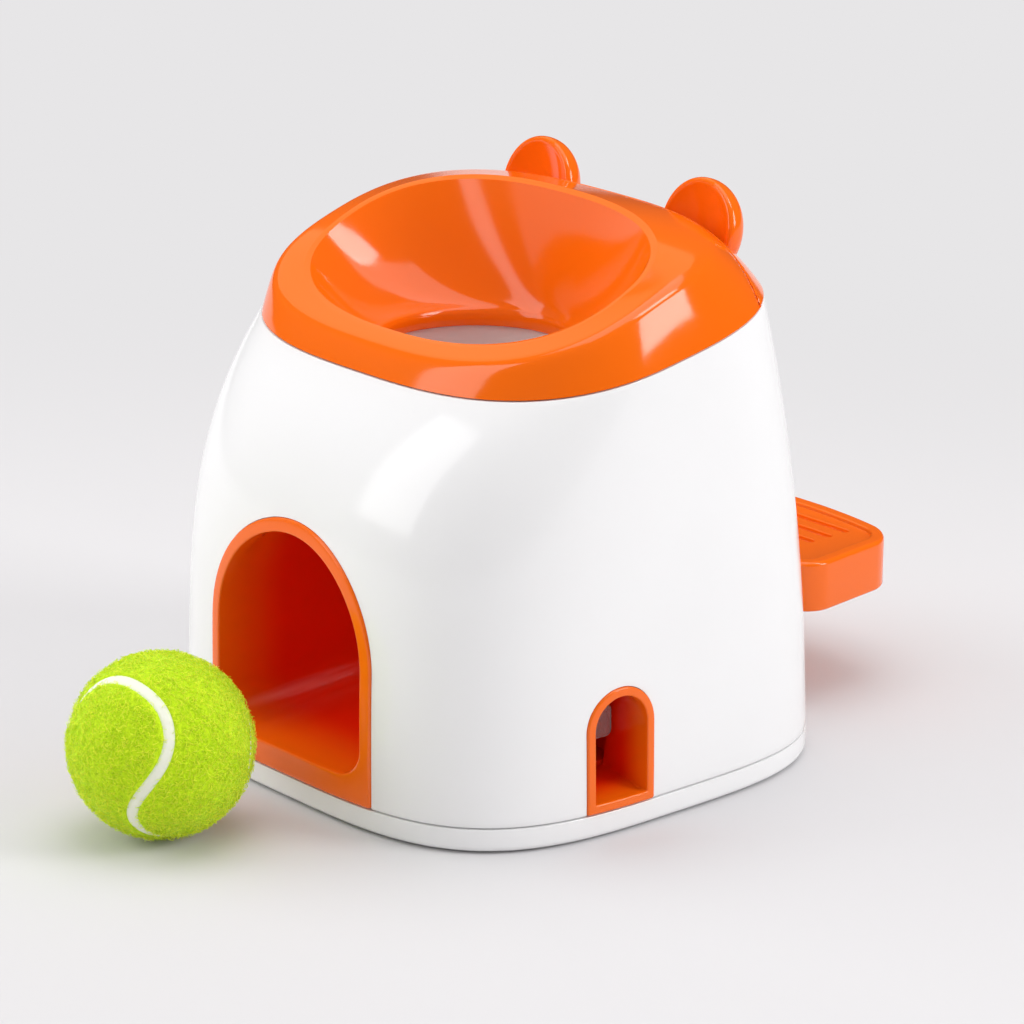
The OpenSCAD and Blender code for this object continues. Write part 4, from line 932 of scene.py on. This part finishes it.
# Pedal: a thick orange tread at the back with a raised rim round a sunk panel and four cross grooves.
# Its neck goes through the slot in the shell and is screwed to the lever inside.
TREAD_Y = 103
TREAD_LENGTH = 58
TREAD_WIDTH = 108
TREAD_TAPER = 6.5
TREAD_BOW = 8
TREAD_TOP = 55.5
TREAD_LOW = 36.5
TREAD_LEAN = math.atan(TREAD_TAPER / TREAD_LENGTH)
END_RADIUS = 16
NEAR_RADIUS = 11.5
PANEL = TREAD_TOP - 1.4
GROOVE_LENGTH = 60
GROOVE_RADIUS = 1.7
GROOVE_COUNT = 4
GROOVE_STEP = 9
FIRST_GROOVE = TREAD_Y + TREAD_LENGTH - 14
GROOVE_PROFILE = ((0.55, 0.9), (0.55, 0.05), (0.3, -0.12), (0.08, -0.3), (0, -0.6), (0, -1.0), (-0.25, -1.4),
                  (-0.8, -1.6))
NECK_ROUND = 2
NECK_LAYERS = ((0.8, TREAD_Y + 8), (0, TREAD_Y + 7), (0, 80.9), (0.8, 80.1))


def tread_outline(inset):
    """Outline of the tread, drawn in by an inset: rounded corners, narrower towards its bowed end."""
    right = []
    corners = ((TREAD_Y + NEAR_RADIUS, NEAR_RADIUS - inset, -math.pi / 2, TREAD_LEAN),
               (TREAD_Y + TREAD_LENGTH - END_RADIUS, END_RADIUS - inset, TREAD_LEAN, math.pi / 2))
    for y, radius, start, end in corners:
        lean_in = (y - TREAD_Y) * math.tan(TREAD_LEAN) + (radius + inset) / math.cos(TREAD_LEAN)
        for t in np.linspace(start, end, 25):
            right.append((TREAD_WIDTH / 2 - lean_in + radius * math.cos(t), y + radius * math.sin(t)))
    end_x, end_y = right[-1]
    right += [(x, end_y) for x in np.linspace(end_x, 0, 12, endpoint=False)[1:]]
    right = np.array(right)
    right[:, 1] -= TREAD_BOW * ((right[:, 1] - TREAD_Y) / TREAD_LENGTH * 2 * right[:, 0] / TREAD_WIDTH) ** 2
    return np.concatenate([right, right[::-1] * (-1, 1)])


def groove_outline(grow):
    """Long slot with round ends, in the place of the first groove."""
    radius = GROOVE_RADIUS + grow
    half = GROOVE_LENGTH / 2 - GROOVE_RADIUS
    ends = [(half, t) for t in np.linspace(-np.pi / 2, np.pi / 2, 13)]
    ends += [(-half, t) for t in np.linspace(np.pi / 2, 3 * np.pi / 2, 13)]
    return np.array([(x + radius * math.cos(t), FIRST_GROOVE + radius * math.sin(t)) for x, t in ends])


def repeat_tree():
    """Geometry tree that repeats a shape in a row."""
    tree, entry, leave = new_group(
        "repeat_in_a_row", "GeometryNodeTree",
        (("Shape", "Geometry"), ("Count", "Int", 4), ("Step", "Vector"), ("Finish", "Material")),
        (("Row", "Geometry"),))
    line = add(tree, "GeometryNodeMeshLine", {"Count": entry["Count"], "Offset": entry["Step"]})["Mesh"]
    copies = add(tree, "GeometryNodeInstanceOnPoints", {"Points": line, "Instance": entry["Shape"]})
    feed(tree, leave, {"Row": finished(tree, copies["Instances"], entry["Finish"])})
    return tree


def neck_outline(inset):
    """Section of the neck with rounded edges."""
    radius = NECK_ROUND - inset
    side = NECK_WIDTH / 2 - inset - radius
    low = NECK_LOW + inset + radius
    high = NECK_HIGH - inset - radius
    points = []
    for x, z, start in ((side, low, -0.5), (side, high, 0), (-side, high, 0.5), (-side, low, 1)):
        points += [(x + radius * math.cos(t), z + radius * math.sin(t))
                   for t in np.linspace(start * np.pi, (start + 0.5) * np.pi, 7)]
    return np.array(points)


tread_profile = rounded((1.2, TREAD_LOW), (0, TREAD_LOW + 1.2), (0, TREAD_LOW))
tread_profile += rounded((0, TREAD_TOP - 1.7), (1.7, TREAD_TOP), (0, TREAD_TOP), 8)
tread_profile += rounded((4.9, TREAD_TOP), (6, TREAD_TOP - 0.8), (6, TREAD_TOP))
tread_profile += rounded((6.05, PANEL + 0.5), (6.6, PANEL), (6.05, PANEL), 4)
tread_rows = [row_of(*tread_outline(inset).T, z) for inset, z in tread_profile]
tread = make("pedal_tread", loft(tread_rows, capped=True), orange_plastic)
groove_rows = [row_of(*groove_outline(grow).T, PANEL + rise) for grow, rise in GROOVE_PROFILE]
groove_tool = make("groove_tool", loft(groove_rows, capped=True), orange_plastic)
groove_set = grow_nodes("groove_set", groove_tool.data, repeat_tree(),
                        {"Count": GROOVE_COUNT, "Step": (0, -GROOVE_STEP * MM, 0), "Finish": orange_plastic})
bpy.data.objects.remove(groove_tool)
combine(tread, groove_set)
neck_rows = []
for inset, y in NECK_LAYERS:
    x, z = neck_outline(inset).T
    neck_rows.append(row_of(x, y, z))
cut(tread, loft(neck_rows, capped=True), "UNION")
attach(tread, "pedal_unit")
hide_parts("pedal")

# Return spring: a coil of steel wire between the base and the lever's tongue.
# It shortens as the tongue comes down on it.
COIL_RADIUS = 5
WIRE_RADIUS = 0.8
COIL_TURNS = 6
spring_low, spring_high = (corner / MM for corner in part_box("pedal_spring"))
spring_y = (spring_low.y + spring_high.y) / 2
coil_rise = (spring_high.z - spring_low.z - 2 * WIRE_RADIUS) / COIL_TURNS
wire_out = COIL_RADIUS + WIRE_RADIUS * np.cos(full_turn(12))
wire_up = spring_low.z + WIRE_RADIUS + WIRE_RADIUS * np.sin(full_turn(12))
coil_rows = []
for t in np.linspace(0, COIL_TURNS, COIL_TURNS * 36 + 1):
    angle = 2 * np.pi * t
    coil_rows.append(row_of(wire_out * math.cos(angle), spring_y + wire_out * math.sin(angle),
                            wire_up + coil_rise * t))
coil = make("pedal_return_spring", loft(coil_rows, capped=True), steel, 60)
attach(coil, "dispenser")
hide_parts("pedal_spring")
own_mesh(coil)

# Ball: a tennis ball with a woolly lime cover over a rubber core and a white rubber seam let into the felt.
# The cover is a soft bumpy skin with thousands of short curled fibres, left out along the seam.
BALL_MIDDLE = np.array([-3, -146, 32.5])
FELT_RADIUS = 31.25
SEAM_HALF = 2.1
SEAM_RISE_ANGLE = math.radians(48.9)
SEAM_LEAN_ANGLE = math.radians(17.2)
SEAM_SWING_ANGLE = math.radians(18.6)
BALL_TURN = ((-131.2, "Z"), (-27.1, "Y"), (158.1, "X"))
FIBRE_CURLS = (((0.42, 0.1, 0.42), (0.9, -0.25, 0.28)), ((0.3, 0.0, 0.5), (0.35, 0.6, 0.48)),
               ((0.55, 0.25, 0.36), (0.5, 0.8, 0.16)))
FIBRE_DENSITY = 0.55e6
FIBRE_LENGTH = 2.4
FIBRE_RADIUS = 0.1
turn_z, turn_y, turn_x = (Matrix.Rotation(math.radians(angle), 3, axis) for angle, axis in BALL_TURN)
turn_ball = np.array(turn_z @ turn_y @ turn_x)


def seam_direction(t):
    """Direction from the ball's middle to its seam: up and down twice on the way round, and sideways."""
    up = SEAM_RISE_ANGLE * np.sin(2 * t) + SEAM_LEAN_ANGLE * np.sin(t)
    turned = t - SEAM_SWING_ANGLE * np.sin(4 * t)
    direction = np.stack([np.cos(up) * np.cos(turned), np.cos(up) * np.sin(turned), np.sin(up)], -1)
    return direction @ turn_ball.T


def felt_material(name, dark, light, attribute=None):
    """Woolly lime felt, matt with a soft sheen: colour by a fine noise or by each fibre's own shade."""
    material, tree, shader = new_material(name, {
        "Roughness": 0.9, "Specular IOR Level": 0.15, "Sheen Weight": 0.35, "Sheen Roughness": 0.45,
        "Sheen Tint": (0.85, 1, 0.4, 1)})
    if attribute:
        tone = add(tree, "ShaderNodeAttribute", attribute_name=attribute)["Fac"]
    else:
        place = add(tree, "ShaderNodeTexCoord")["Object"]
        tone = add(tree, "ShaderNodeTexNoise", {"Vector": place, "Scale": 900, "Detail": 4})["Fac"]
        bump = add(tree, "ShaderNodeBump", {"Strength": 0.8, "Distance": 0.0006, "Height": tone})
        feed(tree, shader, {"Normal": bump["Normal"]})
    colours = tree.nodes.new("ShaderNodeValToRGB")
    for k, (colour, position) in enumerate(((dark, 0.25), (light, 0.75))):
        colours.color_ramp.elements[k].color = (*colour, 1)
        colours.color_ramp.elements[k].position = position
    feed(tree, colours, {"Fac": tone})
    feed(tree, shader, {"Base Color": colours.outputs["Color"]})
    return material


def fibre_tree():
    """Geometry tree that scatters short curled fibres over the felt, none on the seam."""
    tree, entry, leave = new_group(
        "felt_fibres", "GeometryNodeTree",
        (("Felt", "Geometry"), ("Fibres per Area", "Float", 1e6), ("Length", "Float", 0.002),
         ("Thickness", "Float", 0.0001), ("Seed", "Int", 1), ("Finish", "Material")),
        (("Fibres", "Geometry"),))
    seed, length = entry["Seed"], entry["Length"]
    covered = add(tree, "GeometryNodeInputNamedAttribute", {"Name": "cover"}, data_type="FLOAT")["Attribute"]
    amount = calculate(tree, "MULTIPLY", covered, entry["Fibres per Area"])
    spots = add(tree, "GeometryNodeDistributePointsOnFaces", {
        "Mesh": entry["Felt"], "Density": amount, "Seed": seed})

    def random(low, high, offset, kind="FLOAT"):
        """Random value of each fibre between two limits, with its own shift of the seed."""
        value = tree.nodes.new("FunctionNodeRandomValue")
        value.data_type = kind
        limits = [socket for socket in value.inputs if socket.enabled and socket.name in ("Min", "Max")]
        limits[0].default_value = low
        limits[1].default_value = high
        feed(tree, value, {"Seed": calculate(tree, "ADD", seed, offset)})
        return next(socket for socket in value.outputs if socket.enabled)

    size = joined(tree, length, length, length)
    ring = add(tree, "GeometryNodeCurvePrimitiveCircle", {"Resolution": 3, "Radius": entry["Thickness"]})
    strands = []
    for middle, end in FIBRE_CURLS:
        curl = add(tree, "GeometryNodeCurveQuadraticBezier", {
            "Resolution": 4, "Start": (0, 0, -0.08), "Middle": middle, "End": end})["Curve"]
        path = add(tree, "GeometryNodeTransform", {"Geometry": curl, "Scale": size})["Geometry"]
        strand = add(tree, "GeometryNodeCurveToMesh", {
            "Curve": path, "Profile Curve": ring["Curve"], "Fill Caps": True})["Mesh"]
        strands.append(add(tree, "GeometryNodeGeometryToInstance", {"Geometry": strand})["Instances"])
    kinds = add(tree, "GeometryNodeJoinGeometry", {"Geometry": strands})["Geometry"]
    twist = joined(tree, random(-0.3, 0.3, 11), random(-0.3, 0.3, 12), random(0.0, 6.2832, 13))
    turned = add(tree, "FunctionNodeEulerToRotation", {"Euler": twist})[0]
    spin = add(tree, "FunctionNodeRotateRotation", {"Rotation": spots["Rotation"], "Rotate By": turned},
               rotation_space="LOCAL")["Rotation"]
    placed = add(tree, "GeometryNodeInstanceOnPoints", {
        "Points": spots["Points"], "Instance": kinds, "Pick Instance": True,
        "Instance Index": random(0, 2, 14, "INT"), "Rotation": spin, "Scale": random(0.6, 1.05, 15)})
    shaded = add(tree, "GeometryNodeStoreNamedAttribute", {
        "Geometry": placed["Instances"], "Name": "fibre_shade", "Value": random(0.0, 1.0, 16)},
        data_type="FLOAT", domain="INSTANCE")["Geometry"]
    feed(tree, leave, {"Fibres": finished(tree, shaded, entry["Finish"])})
    return tree


seam_path = seam_direction(full_turn(720))
felt_mesh = bpy.data.meshes.new("ball_felt_cover")
work = bmesh.new()
bmesh.ops.create_icosphere(work, subdivisions=7, radius=1)
work.to_mesh(felt_mesh)
work.free()
directions = np.zeros(len(felt_mesh.vertices) * 3)
felt_mesh.vertices.foreach_get("co", directions)
directions = directions.reshape(-1, 3)
directions /= np.linalg.norm(directions, axis=1)[:, None]
nearest = np.concatenate([(chunk @ seam_path.T).max(1) for chunk in np.array_split(directions, 40)])
off_seam = FELT_RADIUS * np.arccos(np.clip(nearest, -1, 1))
groove = 1 / (1 + np.exp((off_seam - SEAM_HALF) / 0.22))
swell = np.exp(-((off_seam - SEAM_HALF - 1.2) / 1.1) ** 2)
height = FELT_RADIUS - 1.15 * groove + 0.12 * swell
felt_mesh.vertices.foreach_set("co", ((BALL_MIDDLE + directions * height[:, None]) * MM).ravel())
cover_share = felt_mesh.attributes.new("cover", "FLOAT", "POINT")
cover_share.data.foreach_set("value", np.clip((off_seam - SEAM_HALF - 0.15) / 0.5, 0, 1))
# The felt ground is darker than its fibres: partly the felt's own tone, partly painted shade for the gaps
# between the fibres.
felt_ground_painted_shade = felt_material("felt_ground", (0.42, 0.66, 0.006), (0.72, 0.96, 0.02))
fibre_finish = felt_material("felt_fibre", (0.66, 0.92, 0.01), (0.94, 1.0, 0.06), "fibre_shade")
felt_mesh.materials.append(felt_ground_painted_shade)
shade(felt_mesh, 180)
felt = bpy.data.objects.new("ball_felt_cover", felt_mesh)
scene.collection.objects.link(felt)
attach(felt, "ball")
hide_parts("ball_felt")
fibres = fibre_tree()
for seed in (1, 2, 3):
    layer = grow_nodes(f"ball_fibres_{seed}", felt_mesh, fibres, {
        "Fibres per Area": FIBRE_DENSITY, "Length": FIBRE_LENGTH * MM, "Thickness": FIBRE_RADIUS * MM,
        "Seed": seed, "Finish": fibre_finish})
    shade(layer.data, 180)
    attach(layer, "ball")

# Seam: a soft white rubber strip with a rounded face.
# It is vulcanised into the groove between the felt panels.
SEAM_SINK = 0.35
SEAM_SECTION = ((-2.3, -1.9), (-2.2, -0.55), (-1.6, -0.2), (-0.8, -0.04), (0, 0), (0.8, -0.04), (1.6, -0.2),
                (2.2, -0.55), (2.3, -1.9))
seam_rubber = plastic("white_rubber", (0.88, 0.89, 0.78), 0.6, 0.08, 0.04, 700, 0.3)
ahead = np.roll(seam_path, -1, 0) - np.roll(seam_path, 1, 0)
ahead /= np.linalg.norm(ahead, axis=1)[:, None]
across = np.cross(seam_path, ahead)
seam_rows = [BALL_MIDDLE + seam_path * (FELT_RADIUS - SEAM_SINK + height) + across * side
             for side, height in SEAM_SECTION]
seam_strip = make("ball_seam_strip", loft(seam_rows, looped=True), seam_rubber, 60)
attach(seam_strip, "ball")
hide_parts("ball_seam")
finish_node("ball_core", rubber)

# Stage: a plain pale floor, soft boxes to the right and above, a broad fill from the left, a weak one from
# the front, three panels that only give highlights, and the camera at the photograph's angle.
FLOOR_HALF = 9
VIEW_TURN = math.radians(49.512)
VIEW_RAISE = math.radians(18.044)
VIEW_DISTANCE = 1.49063
VIEW_MIDDLE = Vector((0, 0, 0.08))
floor_mesh = bpy.data.meshes.new("floor")
floor_corners = [(sx * FLOOR_HALF, sy * FLOOR_HALF, 0) for sx, sy in ((-1, -1), (1, -1), (1, 1), (-1, 1))]
floor_mesh.from_pydata(floor_corners, [], [(0, 1, 2, 3)])
floor = bpy.data.objects.new("floor", floor_mesh)
scene.collection.objects.link(floor)
floor_finish, tree, shader = new_material("pale_floor", {
    "Base Color": (0.68, 0.67, 0.685, 1), "Roughness": 0.85, "Specular IOR Level": 0.1})
spot = add(tree, "ShaderNodeTexCoord")["Object"]
reach = add(tree, "ShaderNodeVectorMath", {0: spot}, operation="LENGTH")["Value"]
far = add(tree, "ShaderNodeMapRange", {"From Min": 0.2, "From Max": 0.75, "Value": reach},
          interpolation_type="SMOOTHERSTEP")["Result"]
ray = add(tree, "ShaderNodeLightPath")
seen = calculate(tree, "MAXIMUM", ray["Is Camera Ray"], ray["Is Glossy Ray"])
fade = calculate(tree, "MULTIPLY", far, seen)
haze = add(tree, "ShaderNodeEmission", {"Color": (0.8, 0.79, 0.8, 1)})[0]
blend = add(tree, "ShaderNodeMixShader", {"Fac": fade, 1: shader.outputs[0], 2: haze})[0]
feed(tree, tree.nodes["Material Output"], {"Surface": blend})
floor_mesh.materials.append(floor_finish)

world = bpy.data.worlds.new("studio")
scene.world = world
world.use_nodes = True
tree = world.node_tree
upwards = add(tree, "ShaderNodeSeparateXYZ", {0: add(tree, "ShaderNodeTexCoord")["Generated"]})["Z"]
sky = add(tree, "ShaderNodeMapRange", {"Value": upwards, "To Min": 0.4, "To Max": 0.85})["Result"]
glossy = add(tree, "ShaderNodeLightPath")["Is Glossy Ray"]
dimmed = add(tree, "ShaderNodeMapRange", {"Value": glossy, "To Min": 1, "To Max": 0.12})["Result"]
strength = calculate(tree, "MULTIPLY", sky, dimmed)
feed(tree, tree.nodes["Background"], {"Color": (1, 0.99, 0.98, 1), "Strength": strength})


def soft_box(name, place, aim, width, height, power, colour=(1, 1, 1), diffuse=True, glossy=True):
    """Soft box light at a place, turned towards a point."""
    lamp = bpy.data.lights.new(name, "AREA")
    lamp.shape = "RECTANGLE"
    lamp.size = width
    lamp.size_y = height
    lamp.energy = power
    lamp.color = colour
    light = bpy.data.objects.new(name, lamp)
    light.location = place
    light.rotation_euler = (Vector(aim) - Vector(place)).to_track_quat("-Z", "Y").to_euler()
    light.visible_diffuse = diffuse
    light.visible_glossy = glossy
    scene.collection.objects.link(light)


soft_box("left_box", (-0.55, -1.21, 0.83), (0, 0, 0.1), 0.7, 1.05, 5.8, diffuse=False)
soft_box("bowl_box", (0.75, 0.48, 1.5), (0, 0, 0.17), 0.42, 0.42, 5, diffuse=False)
soft_box("back_board", (-1.16, 0.49, 1.37), (0, 0, 0.19), 1.3, 1.0, 3.6, (1, 0.82, 0.45), diffuse=False)
soft_box("right_box", (1.25, 0.75, 0.8), (0, 0, 0.1), 0.56, 0.74, 11)
soft_box("top_box", (0.0, 0.1, 1.5), (0, 0, 0.1), 1.1, 1.1, 6.5)
soft_box("left_fill", (-1.15, -0.95, 0.6), (0, 0, 0.08), 1.4, 1.0, 13, glossy=False)
soft_box("front_fill", (0.4, -1.2, 0.3), (0, -0.05, 0.03), 0.8, 0.4, 0.7, glossy=False)

back = Vector((math.sin(VIEW_TURN) * math.cos(VIEW_RAISE), -math.cos(VIEW_TURN) * math.cos(VIEW_RAISE),
               math.sin(VIEW_RAISE)))
right = Vector((math.cos(VIEW_TURN), math.sin(VIEW_TURN), 0))
lens = bpy.data.cameras.new("camera")
lens.lens = 147.66
lens.sensor_width = 36
lens.shift_x = 0.01595
lens.shift_y = 0.01368
lens.clip_end = 50
camera = bpy.data.objects.new("camera", lens)
view_axes = Matrix((right, back.cross(right), back)).transposed().to_4x4()
camera.matrix_world = Matrix.Translation(VIEW_MIDDLE + back * VIEW_DISTANCE) @ view_axes
scene.collection.objects.link(camera)
scene.camera = camera
scene.view_settings.view_transform = "Standard"
